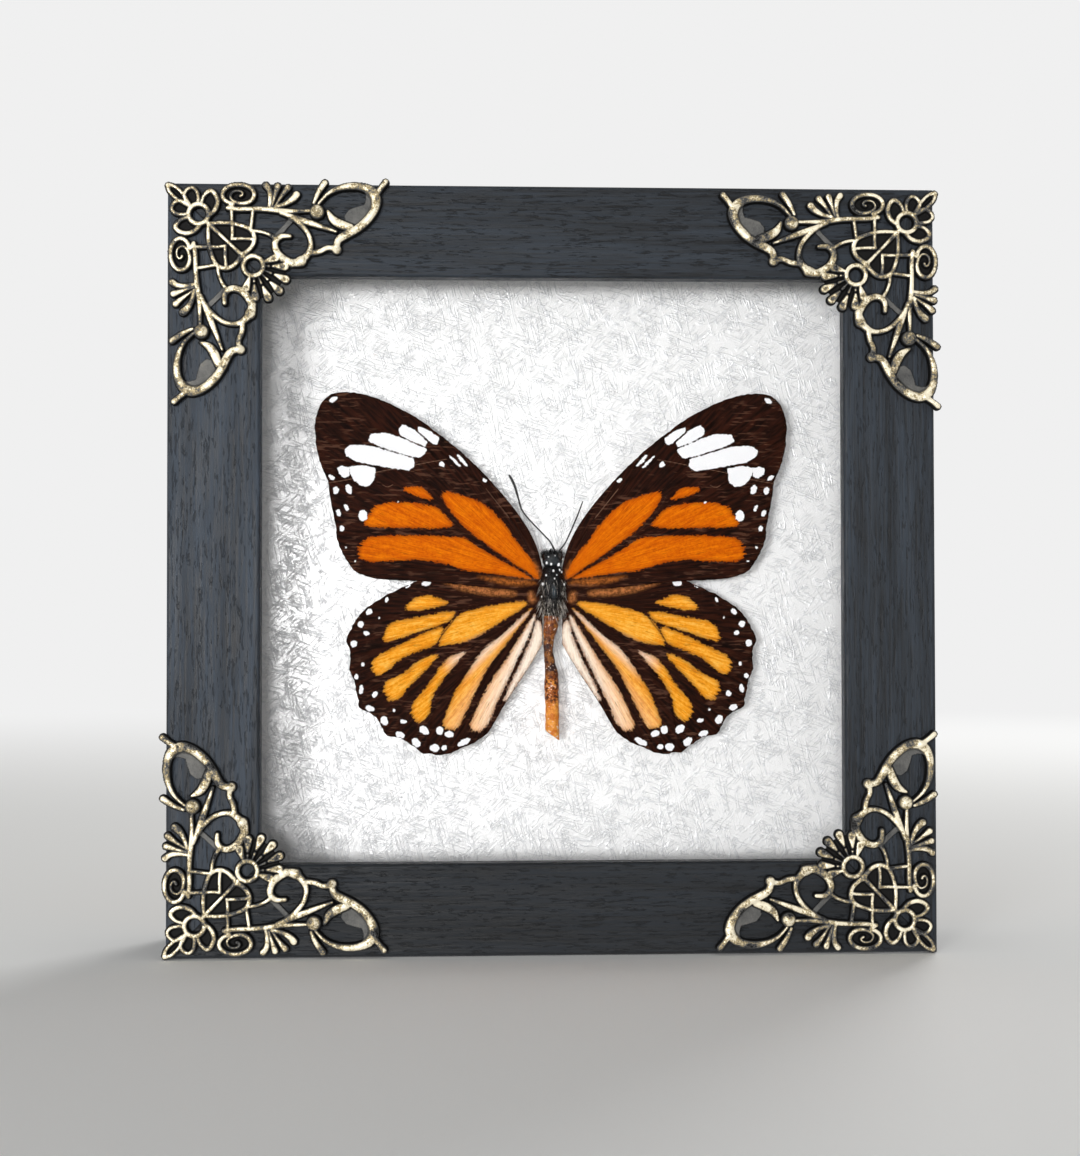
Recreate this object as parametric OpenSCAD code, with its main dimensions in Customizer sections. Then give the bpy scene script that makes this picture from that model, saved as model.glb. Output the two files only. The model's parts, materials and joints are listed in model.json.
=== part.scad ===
// Butterfly display case: a mitred wooden box frame with a glass front, a mounted
// butterfly on textured paper, cast filigree corners, and turn buttons and a hanger behind.
// Millimetres. The case stands on its bottom rail, its glass faces -Y, and +Z is up.
// X = 0 is the middle of the width, Y = 0 the middle of the whole depth, Z = 0 the underside.

/* [Frame] */
// Overall width of the wooden frame
case_w = 130; // [112:1:170]
// Overall height of the wooden frame
case_h = 130; // [105:1:170]
// Face width of each rail
rail_w = 15.6; // [13:0.2:19]
// How far the front lip covers the glass
lip_w = 6; // [4.5:0.5:7.5]
// Thickness of the front lip
lip_t = 3.5; // [3:0.5:6]
// Rounding along the rails' long edges
edge_r = 0.6; // [0.3:0.1:1.2]

/* [Glass and backing] */
// Thickness of the front glass
glass_t = 2; // [1.5:0.5:3]
// Depth of the display chamber between the glass and the paper
chamber_d = 11.5; // [9.5:0.5:20]
// Thickness of the spacer strips between the glass and the paper
spacer_t = 2.4; // [1.4:0.2:3]
// Thickness of the textured paper
paper_t = 0.5; // [0.3:0.1:1]
// Thickness of the mount board behind the paper
mount_t = 3; // [2:0.5:5]
// Thickness of the back board
back_t = 3; // [2:0.5:5]
// Gap round the glass, spacers and boards inside the rabbet
rabbet_gap = 0.3; // [0.2:0.1:0.5]

/* [Corner nails] */
// Length of each leg of a V-nail
nail_leg = 4.5; // [3:0.5:5]
// Sheet thickness of a V-nail
nail_t = 0.6; // [0.4:0.1:0.8]
// Height of a V-nail, along the depth of the rail
nail_h = 7; // [5:1:10]
// How far a V-nail is sunk under the back face
nail_sunk = 0.4; // [0.2:0.1:1]

/* [Corner ornaments] */
// Length of each leg of an ornament, from its corner to its tip
ornament_leg = 37.6; // [32:0.2:45]
// Thickness of the cast strokes
stroke_t = 1.1; // [0.8:0.1:1.8]
// Thickness of the low web behind the strokes
web_t = 0.4; // [0.3:0.1:0.6]
// Radius of the large ball on each leg
ball_r = 1.4; // [1:0.1:1.8]

/* [Turn buttons] */
// Length of a turn button from its pivot to the middle of its tip
button_len = 10; // [8:0.5:12]
// Radius of the button's wide end
button_r = 3.4; // [3:0.1:4]
// Radius of the button's tip
button_tip_r = 2.2; // [1.5:0.1:2.6]
// Thickness of a turn button
button_t = 0.9; // [0.6:0.1:1.5]
// Distance of each pair of turn buttons above and below the middle of the case
button_pitch = 30; // [22:1:38]
// Gap between a turn button and the back face or the screw head
button_gap = 0.1; // [0.05:0.05:0.3]

/* [Screws] */
// Radius of the screw shank
screw_r = 1.3; // [1:0.1:1.5]
// Radius of the screw head
screw_head_r = 2.3; // [2:0.1:2.8]
// Height of the screw head
screw_head_h = 1.5; // [1:0.1:2]
// Length of the screw in the wood
screw_len = 9; // [7:0.5:12]
// Radial clearance of the screw in its pilot hole and in the turn button
screw_gap = 0.05; // [0.02:0.01:0.1]

/* [Hanger] */
// Length of the hanger plate beyond the middle of each screw
plate_end = 3.6; // [3:0.2:6]
// Height of the hanger plate
plate_h = 7; // [6:0.2:7.4]
// Thickness of the hanger plate
plate_t = 0.8; // [0.6:0.1:1]
// Radius of the hanging ring's arc, on the middle of the wire
ring_r = 8; // [7:0.1:10]
// Radius of the ring's wire
wire_r = 0.8; // [0.6:0.05:0.9]
// Gap beside the ring, between its wire and the screw heads
ring_room = 1.3; // [0.5:0.1:3]
// Radial clearance of the ring's bar in its knuckle
knuckle_gap = 0.05; // [0.03:0.01:0.1]
// Wall of the knuckle
knuckle_wall = 0.8; // [0.6:0.1:1]
// Length of the knuckle
knuckle_len = 5; // [4:0.5:7]

/* [Butterfly] */
// Span of the spread wings
wing_span = 84; // [70:1:88]
// Thickness of a wing with its veins
wing_t = 0.3; // [0.2:0.05:0.4]
// Gap between the forewings and the hindwings behind them
wing_gap = 0.3; // [0.2:0.05:0.5]
// Largest radius of the thorax
thorax_r = 2.1; // [1.7:0.1:2.6]
// Thickness of the foam pad under the thorax
pad_t = 1; // [0.5:0.1:2]
// Clearance between the pieces of the specimen
specimen_gap = 0.1; // [0.05:0.05:0.2]
// Middle of the butterfly, to the right of the middle of the case
specimen_x = 0.3; // [-2:0.1:2]

/* [Hidden] */
// Wall of the rail beside the rabbet, and the total depth of the rails
wall_w = rail_w - lip_w;
rail_d = lip_t + glass_t + chamber_d + paper_t + mount_t + back_t;
// Half sizes of the rabbet's opening
cavity_x = case_w / 2 - wall_w;
cavity_z = case_h / 2 - wall_w;
// Depths of the layers, measured from the rails' front face
glass_y = lip_t;
spacer_y = glass_y + glass_t;
paper_y = spacer_y + chamber_d;
mount_y = paper_y + paper_t;
back_y = mount_y + mount_t;
// Height of the knuckle's axis above the back face, and what stands proud behind
knuckle_r = wire_r + knuckle_gap + knuckle_wall;
knuckle_h = max(knuckle_r + 0.05, plate_t + wire_r + 0.2);
screw_top = button_t + 2 * button_gap + screw_head_h;
proud_back = max(knuckle_h + knuckle_r, screw_top);
// What stands proud in front, and the place of the rails' front face
ball_h = ball_r * 0.5;
proud_front = max(ball_h + ball_r, stroke_t);
front_y = -(proud_front + rail_d + proud_back) / 2 + proud_front;
rear_y = front_y + rail_d;
mid_z = case_h / 2;
// Places on the back face, and the width of the hanger plate
button_x = case_w / 2 - wall_w / 2;
plate_screw_x = ring_r + wire_r + ring_room + screw_head_r;
plate_w = 2 * (plate_screw_x + plate_end);
plate_z = case_h - wall_w / 2;
plate_low = plate_z - plate_h / 2;
plate_corner = 2;
ring_drop = 1;
ring_z = plate_low - ring_drop;
// V-nails: distance of their corner from the rabbet, and room in their slots
nail_in = 2.2;
nail_room = 0.02;
// Screws: length of the point, its room in the pilot hole, and the driver slot's width
point_len = 1.8;
pilot_room = 0.3;
drive_w = 0.5;
// The specimen: depths of the body axis and of the two wing layers
body_y = paper_y - pad_t - specimen_gap - thorax_r;
fore_y = body_y;
hind_y = fore_y + wing_t + wing_gap;
wing_k = wing_span / 84;
wing_root = thorax_r / 2.1;
antenna_front = 0.3;
// Size of the ornament relative to its drawing
orn_k = ornament_leg / 37.6;
// Foam pad: its width, its height and its top under the case's middle
pad_w = 3;
pad_h = 5.5;
pad_top = 1;
// Sides of small round shapes, and of large ones
small_fn = 24;
round_fn = 48;
overcut = 1;

// Curves

// Point at t between b and c on a smooth curve through a, b, c and d
function blend(a, b, c, d, t) =
  0.5 * (2 * b + (c - a) * t + (2 * a - 5 * b + 4 * c - d) * t * t
  + (3 * b - a - 3 * c + d) * t * t * t);

// Smooth open curve through the points p
function curve(p, steps) = let (n = len(p)) [
  for (i = [0 : n - 2]) for (j = [0 : steps - 1])
    blend(p[max(i - 1, 0)], p[i], p[i + 1], p[min(i + 2, n - 1)], j / steps),
  p[n - 1]
];

// Smooth closed curve through the points p
function closed_curve(p, steps) = let (n = len(p)) [
  for (i = [0 : n - 1]) for (j = [0 : steps - 1])
    blend(p[(i + n - 1) % n], p[i], p[(i + 1) % n], p[(i + 2) % n], j / steps)
];

// Unit vector square to the curve q at its point i
function side(q, i) = let (
  a = q[max(i - 1, 0)],
  b = q[min(i + 1, len(q) - 1)],
  d = [b.x - a.x, b.y - a.y]
) [-d.y, d.x] / max(norm(d), 0.001);

// A flat stroke through points [x, y, width], with round ends
module stroke(p, steps = 2) {
  q = curve(p, steps);
  n = len(q);
  left = [for (i = [0 : n - 1]) [q[i].x, q[i].y] + side(q, i) * q[i].z / 2];
  right = [for (i = [n - 1 : -1 : 0]) [q[i].x, q[i].y] - side(q, i) * q[i].z / 2];
  polygon(concat(left, right));
  translate([q[0].x, q[0].y]) circle(d = q[0].z, $fn = 8);
  translate([q[n - 1].x, q[n - 1].y]) circle(d = q[n - 1].z, $fn = 8);
}

// Placing

// Children drawn in X and Z, standing out towards the front from a depth d
module at_depth(d) {
  translate([0, front_y + d, 0]) rotate([90, 0, 0]) children();
}

// Children drawn as seen from behind, standing out from the back face
module at_back(x, z) {
  translate([x, rear_y, z]) rotate([90, 0, 180]) children();
}

// Frame

// Cross-section of a rail: depth along x, distance from the outer edge along y
module rail_section() {
  offset(r = edge_r, $fn = small_fn) offset(delta = -edge_r) polygon([
    [0, 0], [0, rail_w], [lip_t, rail_w], [lip_t, wall_w], [rail_d, wall_w], [rail_d, 0]
  ]);
}

// A V of sheet steel in the bottom left corner, with t its thickness
module nail_outline(t, leg) {
  c = wall_w - nail_in;
  polygon([
    [c - leg, c - t / 2], [c - t / 2, c - t / 2], [c - t / 2, c - leg],
    [c + t / 2, c - leg], [c + t / 2, c + t / 2], [c - leg, c + t / 2]
  ]);
}

// The same V in all four corners, from under the back face down to a depth h
module nails(t, leg, sunk, h) {
  for (x = [0, 1]) for (z = [0, 1])
    translate([0, rear_y - sunk, 0]) rotate([90, 0, 0])
    translate([x ? case_w / 2 : -case_w / 2, z ? case_h : 0, 0])
    mirror([x, 0, 0]) mirror([0, z, 0]) linear_extrude(h) nail_outline(t, leg);
}

// Pilot holes of all the screws in the wood
module pilot_holes() {
  for (x = [-1, 1]) for (z = [-1, 1])
    at_back(x * button_x, mid_z + z * button_pitch) pilot_hole();
  for (x = [-1, 1]) at_back(x * plate_screw_x, plate_z) pilot_hole();
}

module pilot_hole() {
  translate([0, 0, -screw_len - pilot_room])
    cylinder(r = screw_r + screw_gap, h = screw_len + overcut, $fn = small_fn);
}

// One rail on the side at an angle from the bottom, a is its length, b the size across
module rail(angle, a, b) {
  difference() {
    translate([0, front_y, mid_z]) rotate([0, angle, 0]) translate([0, 0, -b / 2])
    intersection() {
      translate([-a / 2, 0, 0]) rotate([90, 0, 90]) linear_extrude(a) rail_section();
      translate([0, rail_d + overcut, 0]) rotate([90, 0, 0])
        linear_extrude(rail_d + 2 * overcut) polygon([
          [-a / 2, 0], [a / 2, 0], [a / 2 - rail_w, rail_w], [rail_w - a / 2, rail_w]
        ]);
    }
    nails(nail_t + 2 * nail_room, nail_leg + nail_room, -overcut, nail_sunk + nail_h + overcut);
    pilot_holes();
  }
}

module rail_bottom() { color([0.11, 0.12, 0.13]) rail(0, case_w, case_h); }
module rail_right() { color([0.11, 0.12, 0.13]) rail(-90, case_h, case_w); }
module rail_top() { color([0.11, 0.12, 0.13]) rail(180, case_w, case_h); }
module rail_left() { color([0.11, 0.12, 0.13]) rail(90, case_h, case_w); }

module corner_v_nails() {
  color([0.6, 0.6, 0.62]) nails(nail_t, nail_leg, nail_sunk, nail_h);
}

// Glass, spacers and boards

// A board that fills the rabbet at depth y, with thickness t
module board(y, t) {
  w = 2 * (cavity_x - rabbet_gap);
  h = 2 * (cavity_z - rabbet_gap);
  translate([-w / 2, front_y + y, mid_z - h / 2]) cube([w, t, h]);
}

// A spacer strip between two corners in X and Z
module spacer(x0, z0, x1, z1) {
  color([0.1, 0.1, 0.11])
    translate([x0, front_y + spacer_y, mid_z + z0]) cube([x1 - x0, chamber_d, z1 - z0]);
}

// Outer and inner faces of the ring of spacers
sx1 = cavity_x - rabbet_gap;
sx0 = sx1 - spacer_t;
sz1 = cavity_z - rabbet_gap;
sz0 = sz1 - spacer_t;

module glass_pane() { color([0.8, 0.88, 0.9, 0.3]) board(glass_y, glass_t); }
module spacer_bottom() { spacer(-sx1, -sz1, sx1, -sz0); }
module spacer_top() { spacer(-sx1, sz0, sx1, sz1); }
module spacer_left() { spacer(-sx1, -sz0, -sx0, sz0); }
module spacer_right() { spacer(sx0, -sz0, sx1, sz0); }
module backing_paper() { color([0.93, 0.93, 0.92]) board(paper_y, paper_t); }
module mount_board() { color([0.9, 0.9, 0.88]) board(mount_y, mount_t); }
module back_board() { color([0.5, 0.36, 0.22]) board(back_y, back_t); }

// Corner ornaments, drawn in the first quadrant with the corner at the origin

// Strokes of one leg: the leg lies along x, and the other leg is its mirror image
module leg_strokes() {
  // Stem, from the scroll to the ball
  stroke([[10.4, 4.6, 0.7], [12.5, 4.8, 0.75], [14.8, 4.8, 0.75], [17, 4.9, 0.8],
    [19.2, 5.2, 0.8], [21.4, 5.3, 0.7], [24, 5.3, 0.6]]);
  // Oval scroll beside the flower
  scroll();
  // Thin leaf under the stem
  stroke([[18.9, 5.3, 0.4], [21.3, 6.3, 0.8], [24, 7.3, 0.9], [28.4, 8.9, 0.5]]);
  // Fan of four leaves
  stroke([[17.3, 4.5, 0.6], [17.5, 3, 0.6], [17.4, 1.7, 0.8], [16.8, 0.8, 0.9]]);
  stroke([[17.8, 4.4, 0.5], [18.3, 2.6, 0.7], [18.8, 1, 0.9]]);
  stroke([[18.3, 4.4, 0.5], [19.4, 2.7, 0.7], [20.5, 1.3, 0.9]]);
  stroke([[18.3, 4.5, 0.6], [20, 4, 0.7], [21.3, 3.2, 0.9], [21.9, 2.5, 0.9]]);
  // Teardrop loop with its two spurs
  stroke([[25.6, 4.2, 0.6], [27, 2.7, 0.7], [28.8, 1.7, 0.9], [30.7, 1.3, 1.1],
    [32.7, 1.4, 1.2], [34.4, 2.1, 1.4], [35.2, 3.4, 1.5], [35.1, 4.7, 1.4],
    [34.5, 6, 1.3], [33.2, 7.5, 1.3], [31.6, 8.7, 1.2], [30, 9.5, 1.2], [28.7, 10.2, 1.1],
    [28.2, 11.2, 0.9]]);
  stroke([[35.3, 2.8, 1], [36.1, 1.7, 0.9], [36.9, 0.7, 1]]);
  stroke([[24.8, 4, 0.6], [25.6, 2.2, 0.7], [26.7, 0.6, 0.9]]);
  // Leaf inside the loop
  stroke([[26.3, 6, 0.8], [27.3, 7.1, 1.2], [28.8, 7.9, 1.3], [30.5, 8, 0.9]]);
  // Link from the loop's bead to the curl
  stroke([[28.3, 11.8, 0.8], [26.9, 11.6, 0.8], [25.5, 12.2, 0.8], [24, 12.4, 0.7]]);
  // Curl: its long arc, its hook and the lump where they meet
  stroke([[19.2, 5.6, 0.6], [20.9, 6.3, 0.7], [22.4, 7.5, 0.7], [23.6, 9, 0.7],
    [24.1, 10.7, 0.7], [23.8, 12.2, 0.8], [22.6, 13.6, 1]]);
  stroke([[20.6, 9.5, 0.6], [19.2, 9.5, 0.7], [18.3, 10.2, 0.9], [18.1, 11.2, 1],
    [18.6, 12.4, 1], [19.8, 13.4, 1], [21.2, 14, 1.1], [22.4, 13.7, 1.6]]);
  // Thin stalk and lattice
  stroke([[14.4, 8.5, 0.5], [15.7, 8.6, 0.5], [17.3, 9.2, 0.5], [18.5, 10.1, 0.6]]);
  stroke([[7.1, 7.1, 0.5], [8.9, 7, 0.55], [10.9, 7.1, 0.55], [13, 7.7, 0.55],
    [14.2, 8.4, 0.6], [14.7, 9.7, 0.6], [14.3, 11, 0.6], [13.3, 12, 0.6],
    [12.4, 12.6, 0.7]]);
  stroke([[10.7, 4.6, 0.5], [10.7, 7.1, 0.5]]);
  stroke([[14.6, 4.8, 0.5], [14.1, 8.3, 0.5]]);
  stroke([[10.7, 7.1, 0.5], [10.8, 8.7, 0.5], [10.6, 10.4, 0.5], [12.5, 10.2, 0.5],
    [14.5, 10.4, 0.5]]);
  // Side petals of the flower
  stroke([[3.9, 3.9, 0.5], [3.2, 2.6, 0.5], [3.5, 1.5, 0.5], [4.5, 1, 0.5],
    [5.3, 1.7, 0.5], [5.5, 2.9, 0.5], [5.4, 3.9, 0.5]]);
  stroke([[6, 3.8, 0.5], [6.4, 2.5, 0.5], [7.4, 1.6, 0.6], [8.2, 2, 0.6],
    [8.7, 3.3, 0.6], [8.3, 4.7, 0.6], [7.3, 5.8, 0.5]]);
}

// The scroll: an oval turn that winds inwards to a bud
module scroll() {
  centre = [12.2, 2.35];
  turn = [for (a = [110 : 20 : 650])
    let (k = a < 400 ? 1 : 1 - 0.003 * (a - 400))
    [centre.x + 2.8 * k * cos(a), centre.y + 1.75 * k * sin(a), 0.65]];
  stroke(concat([[10.4, 4.6, 0.7]], [for (p = turn) if (p.x < centre.x || p.y < 3.9) p]), 1);
}

// Strokes on the diagonal, which the two legs share
module shared_strokes() {
  // Corner petal, from both sides
  both_legs() stroke([[4.3, 4.3, 0.5], [3, 2.1, 0.5],
    [1.7, 0.8, 0.5], [0.7, 0.5, 0.6], [0.5, 0.5, 0.6]]);
  // Diagonal of the lattice
  stroke([[6.9, 6.9, 0.6], [10, 10, 0.5], [12.8, 12.8, 0.6]]);
  // Daisy petals, fanning towards the inner corner
  for (s = [-3 : 3]) {
    tip = [6.7, 6.7, 6.1, 4.7][abs(s)];
    translate([daisy, daisy]) rotate(45 + 21.5 * s)
      stroke([[1.7, 0, 0.5], [3.2, 0, 0.6], [tip - 1.2, 0, 1.2], [tip - 0.7, 0, 1.4]]);
  }
}

// The low web: sheet metal left in the loop and beside the curl
module leg_web() {
  stroke([[33, 2.6, 0.8], [33.2, 4, 1.2], [32.3, 5.4, 1.7], [30.6, 6.2, 1.5],
    [28.9, 7, 1]]);
  stroke([[18.2, 9.4, 0.8], [21, 6.6, 0.9]]);
}

// Middles of the flower's ring and of the daisy's ring on the diagonal
flower = 5.5;
daisy = 14.4;

module both_legs() {
  children();
  mirror([1, -1, 0]) children();
}

module ornament() {
  scale(orn_k) {
    linear_extrude(stroke_t / orn_k) offset(delta = 0.01) {
      both_legs() leg_strokes();
      shared_strokes();
      for (c = [flower, daisy]) translate([c, c]) ring(2, 1.35);
    }
    linear_extrude(web_t / orn_k) offset(delta = 0.01) both_legs() leg_web();
    both_legs() {
      dome([25.3, 5.5], ball_r / orn_k, ball_h / orn_k);
      dome([28.3, 12], 0.85, 0.5);
    }
  }
}

module ring(outer, inner) {
  difference() {
    circle(r = outer, $fn = small_fn);
    circle(r = inner, $fn = small_fn);
  }
}

// A ball whose middle is h above the face, cut flat on the face
module dome(at, r, h) {
  translate([at.x, at.y, 0]) intersection() {
    translate([0, 0, h]) sphere(r = r, $fn = small_fn);
    cylinder(r = 2 * r, h = 2 * r, $fn = small_fn);
  }
}

// An ornament on a corner: right and top are 0 or 1, with its offsets and its turn
module corner_ornament(right, top, du, dv, turn) {
  color([0.55, 0.47, 0.34]) at_depth(0)
    translate([right ? case_w / 2 : -case_w / 2, top ? case_h : 0, 0])
    mirror([right, 0, 0]) mirror([0, top, 0])
    translate([du, dv, 0]) rotate([0, 0, turn]) ornament();
}

module ornament_top_left() { corner_ornament(0, 1, -0.3, 0.1, -1.5); }
module ornament_top_right() { corner_ornament(1, 1, -0.6, 0.4, 0.7); }
module ornament_bottom_left() { corner_ornament(0, 0, -0.5, 0.1, 0.9); }
module ornament_bottom_right() { corner_ornament(1, 0, 0.4, 0.1, 0.7); }

// Turn buttons and screws, standing out from the back face

// A screw whose head sits at a height h above the face
module screw(h) {
  difference() {
    rotate_extrude($fn = small_fn) polygon([
      [0, -screw_len], [screw_r, point_len - screw_len], [screw_r, h], [screw_head_r, h],
      [screw_head_r, h + screw_head_h * 0.45], [screw_head_r * 0.75, h + screw_head_h * 0.85],
      [screw_head_r * 0.35, h + screw_head_h], [0, h + screw_head_h]
    ]);
    for (a = [0, 90]) rotate(a)
      translate([-screw_head_r * 0.6, -drive_w / 2, h + screw_head_h * 0.5])
      cube([screw_head_r * 1.2, drive_w, screw_head_h]);
  }
}

// A turn button that points along x, with its pivot at the origin
module turn_button() {
  lobe = button_r - button_tip_r;
  color([0.72, 0.6, 0.35]) difference() {
    translate([0, 0, button_gap]) linear_extrude(button_t)
      offset(r = button_tip_r, $fn = small_fn)
      polygon([[-lobe, 0], [0, lobe], [button_len, 0], [0, -lobe]]);
    translate([0, 0, -overcut])
      cylinder(r = screw_r + screw_gap, h = button_t + 3 * overcut, $fn = small_fn);
  }
}

// A turn button on the left (-1) or right (1) rail, above (1) or below (-1) the middle
module placed_button(x, z) {
  at_back(x * button_x, mid_z + z * button_pitch) rotate(x < 0 ? 180 : 0) turn_button();
}

module turn_button_left_upper() { placed_button(-1, 1); }
module turn_button_left_lower() { placed_button(-1, -1); }
module turn_button_right_upper() { placed_button(1, 1); }
module turn_button_right_lower() { placed_button(1, -1); }

module turn_button_screws() {
  color([0.75, 0.66, 0.42]) for (x = [-1, 1]) for (z = [-1, 1])
    at_back(x * button_x, mid_z + z * button_pitch) screw(button_t + 2 * button_gap);
}

// Hanger

// The plate, with a knuckle folded round the ring's bar below it
module hanger_plate() {
  color([0.72, 0.6, 0.35]) at_back(0, plate_z) difference() {
    union() {
      linear_extrude(plate_t) offset(r = plate_corner, $fn = small_fn)
        square([plate_w - 2 * plate_corner, plate_h - 2 * plate_corner], center = true);
      translate([-knuckle_len / 2, ring_z - plate_z, 0])
        cube([knuckle_len, plate_z - ring_z, plate_t]);
      translate([-knuckle_len / 2, ring_z - plate_z, knuckle_h]) rotate([0, 90, 0])
        cylinder(r = knuckle_r, h = knuckle_len, $fn = round_fn);
    }
    translate([-knuckle_len, ring_z - plate_z, knuckle_h]) rotate([0, 90, 0])
      cylinder(r = wire_r + knuckle_gap, h = 2 * knuckle_len, $fn = round_fn);
    for (x = [-1, 1]) translate([x * plate_screw_x, 0, -overcut])
      cylinder(r = screw_r + screw_gap, h = plate_t + 2 * overcut, $fn = small_fn);
  }
}

// The ring: a straight bar in the knuckle and a half circle of wire that hangs from it
module hanger_ring() {
  color([0.72, 0.6, 0.35]) at_back(0, ring_z) translate([0, 0, knuckle_h]) {
    translate([-ring_r, 0, 0]) rotate([0, 90, 0])
      cylinder(r = wire_r, h = 2 * ring_r, $fn = round_fn);
    rotate([0, 0, 180]) rotate_extrude(angle = 180, $fn = round_fn)
      translate([ring_r, 0]) circle(r = wire_r, $fn = small_fn);
    for (x = [-1, 1]) translate([x * ring_r, 0, 0]) sphere(r = wire_r, $fn = round_fn);
  }
}

module hanger_screws() {
  color([0.75, 0.66, 0.42]) for (x = [-1, 1])
    at_back(x * plate_screw_x, plate_z) screw(plate_t);
}

// Butterfly

// Half outline of each wing: distance from the body's axis, height from the case's middle
fore_points = [
  [2.3, 0.2], [5.2, 8], [10, 14.5], [15.4, 20], [22.3, 26], [28.5, 29.3], [34.9, 31.3],
  [39.4, 30.9], [41.5, 28], [41.9, 24.5], [40.9, 19.8], [39.2, 14], [38.2, 9], [37.9, 5],
  [36.1, 1.6], [32.8, -0.7], [27, -1.5], [15, -2.3], [7, -2.8], [2.3, -2.5]
];
hind_points = [
  [2.2, -3.3], [7, -2.5], [15, -2], [22.2, -1.9], [26.3, -3.1], [29.4, -4.8], [32, -6.7],
  [34.3, -9.4], [35.7, -12], [35.2, -14.4], [35, -17.4], [34.2, -20.2], [33.8, -23.9],
  [31.5, -25.4], [30, -26.6], [28.4, -29.1], [25.8, -29.8], [22.8, -32], [20, -32.4],
  [17.2, -32], [14, -30.8], [11.3, -29], [9, -25.8], [6.4, -21.5], [4, -17.4], [2.2, -13.2],
  [2, -9.5]
];

// Points scaled to the wing span, their inner ends kept clear of the thorax
function wing_points(p) = [for (q = p)
  [max(q.x * wing_k, thorax_r + specimen_gap), mid_z + q.y * wing_k]];

// A wing plate with its back at depth y, on the left (-1) or right (1)
module wing(p, y, s) {
  translate([specimen_x, 0, 0]) mirror([s < 0 ? 1 : 0, 0, 0]) at_depth(y + wing_t / 2)
    linear_extrude(wing_t) offset(delta = 0) intersection() {
      polygon(closed_curve(wing_points(p), 3));
      translate([thorax_r + specimen_gap, 0]) square([case_w, case_h]);
    }
}

module forewing_left() { color([0.75, 0.32, 0.06]) wing(fore_points, fore_y, -1); }
module forewing_right() { color([0.75, 0.32, 0.06]) wing(fore_points, fore_y, 1); }
module hindwing_left() { color([0.85, 0.5, 0.15]) wing(hind_points, hind_y, -1); }
module hindwing_right() { color([0.85, 0.5, 0.15]) wing(hind_points, hind_y, 1); }

// A body piece turned about the body's axis from points [radius, height]
module turned(p) {
  translate([specimen_x, front_y + body_y, mid_z]) rotate_extrude($fn = round_fn)
    polygon([for (q = p) [q.x * wing_root, q.y * wing_k]]);
}

module thorax() {
  color([0.08, 0.07, 0.07]) turned([
    [0, -8.6], [1.2, -8.5], [1.7, -7.4], [2.05, -5], [2.1, -2.6], [1.8, -0.6], [1.2, 0.9],
    [0.7, 1.2], [0, 1.25]
  ]);
}

module abdomen() {
  color([0.6, 0.3, 0.1]) turned([
    [0, -8.7], [1.3, -8.8], [1.6, -10.2], [1.1, -13], [0.85, -15.5], [1, -18], [1.2, -20.5],
    [1.15, -24], [1, -27.5], [0.7, -29.3], [0, -29.7]
  ]);
}

// Head: its radius, and the height of its middle over the case's middle
head_r = 1.2 * wing_root;
head_z = 1.25 * wing_k + specimen_gap + head_r;

// The head with an eye at each side, turned about a cross axis
module head() {
  half = [[0, 1.2], [0.4, 1.12], [0.7, 0.9], [0.85, 0.86], [1.1, 0.88], [1.4, 0.76],
    [1.65, 0.45], [1.75, 0]];
  whole = concat([for (i = [len(half) - 1 : -1 : 1]) [-half[i].x, half[i].y]], half);
  color([0.08, 0.07, 0.07]) translate([specimen_x, front_y + body_y, mid_z + head_z])
    rotate([0, 90, 0]) rotate_extrude($fn = round_fn)
    polygon([for (p = whole) [p.y * wing_root, p.x * wing_root]]);
}

// A thin tube of radius p[i].w through points [x, y, z, radius], as one closed mesh
module feeler(p, sides) {
  n = len(p);
  rings = [for (i = [0 : n - 1]) let (
      a = p[max(i - 1, 0)],
      b = p[min(i + 1, n - 1)],
      d = [b.x - a.x, b.y - a.y, b.z - a.z] / norm([b.x - a.x, b.y - a.y, b.z - a.z]),
      u = cross(d, [0, 1, 0]) / norm(cross(d, [0, 1, 0])),
      v = cross(d, u)
    ) for (k = [0 : sides - 1])
      [p[i].x, p[i].y, p[i].z]
      + p[i][3] * (u * cos(k * 360 / sides) + v * sin(k * 360 / sides))];
  walls = [for (i = [0 : n - 2]) for (k = [0 : sides - 1]) let (
      a = i * sides + k,
      b = i * sides + (k + 1) % sides
    ) each [[a, a + sides, b], [b, a + sides, b + sides]]];
  ends = [for (k = [1 : sides - 2]) each [
    [0, k, k + 1],
    [(n - 1) * sides, (n - 1) * sides + k + 1, (n - 1) * sides + k]
  ]];
  polyhedron(rings, concat(walls, ends));
}

// Antennae: places from the top of the head, thicker at the club
module antenna(p) {
  color([0.08, 0.07, 0.07])
    translate([specimen_x, front_y + body_y - antenna_front,
      mid_z + head_z + head_r + specimen_gap])
    feeler(curve([for (q = p) [q.x * wing_k, q.y * wing_k, q.z * wing_k, q[3]]], 2), 6);
}

module antenna_left() {
  antenna([[0.3, 0, 0.05, 0.13], [-0.4, -0.2, 1.3, 0.12], [-1.5, -0.4, 2.5, 0.12],
    [-4.1, -0.8, 5.2, 0.12], [-5.4, -1, 6.9, 0.12], [-6, -1.1, 8.8, 0.14],
    [-6.6, -1.2, 10.9, 0.2], [-7.4, -1.2, 12.6, 0.22], [-7.7, -1.2, 13, 0.12]]);
}

module antenna_right() {
  antenna([[1.2, 0, -0.25, 0.13], [2.2, -0.3, 1, 0.12], [3.1, -0.6, 2.9, 0.12],
    [4.3, -1, 5.7, 0.13], [5.3, -1.2, 8.4, 0.12]]);
}

// Foam pad between the thorax and the paper
module specimen_pad() {
  color([0.9, 0.9, 0.88])
    translate([specimen_x - pad_w / 2, front_y + paper_y - pad_t, mid_z - pad_top - pad_h])
    cube([pad_w, pad_t, pad_h]);
}

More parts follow.
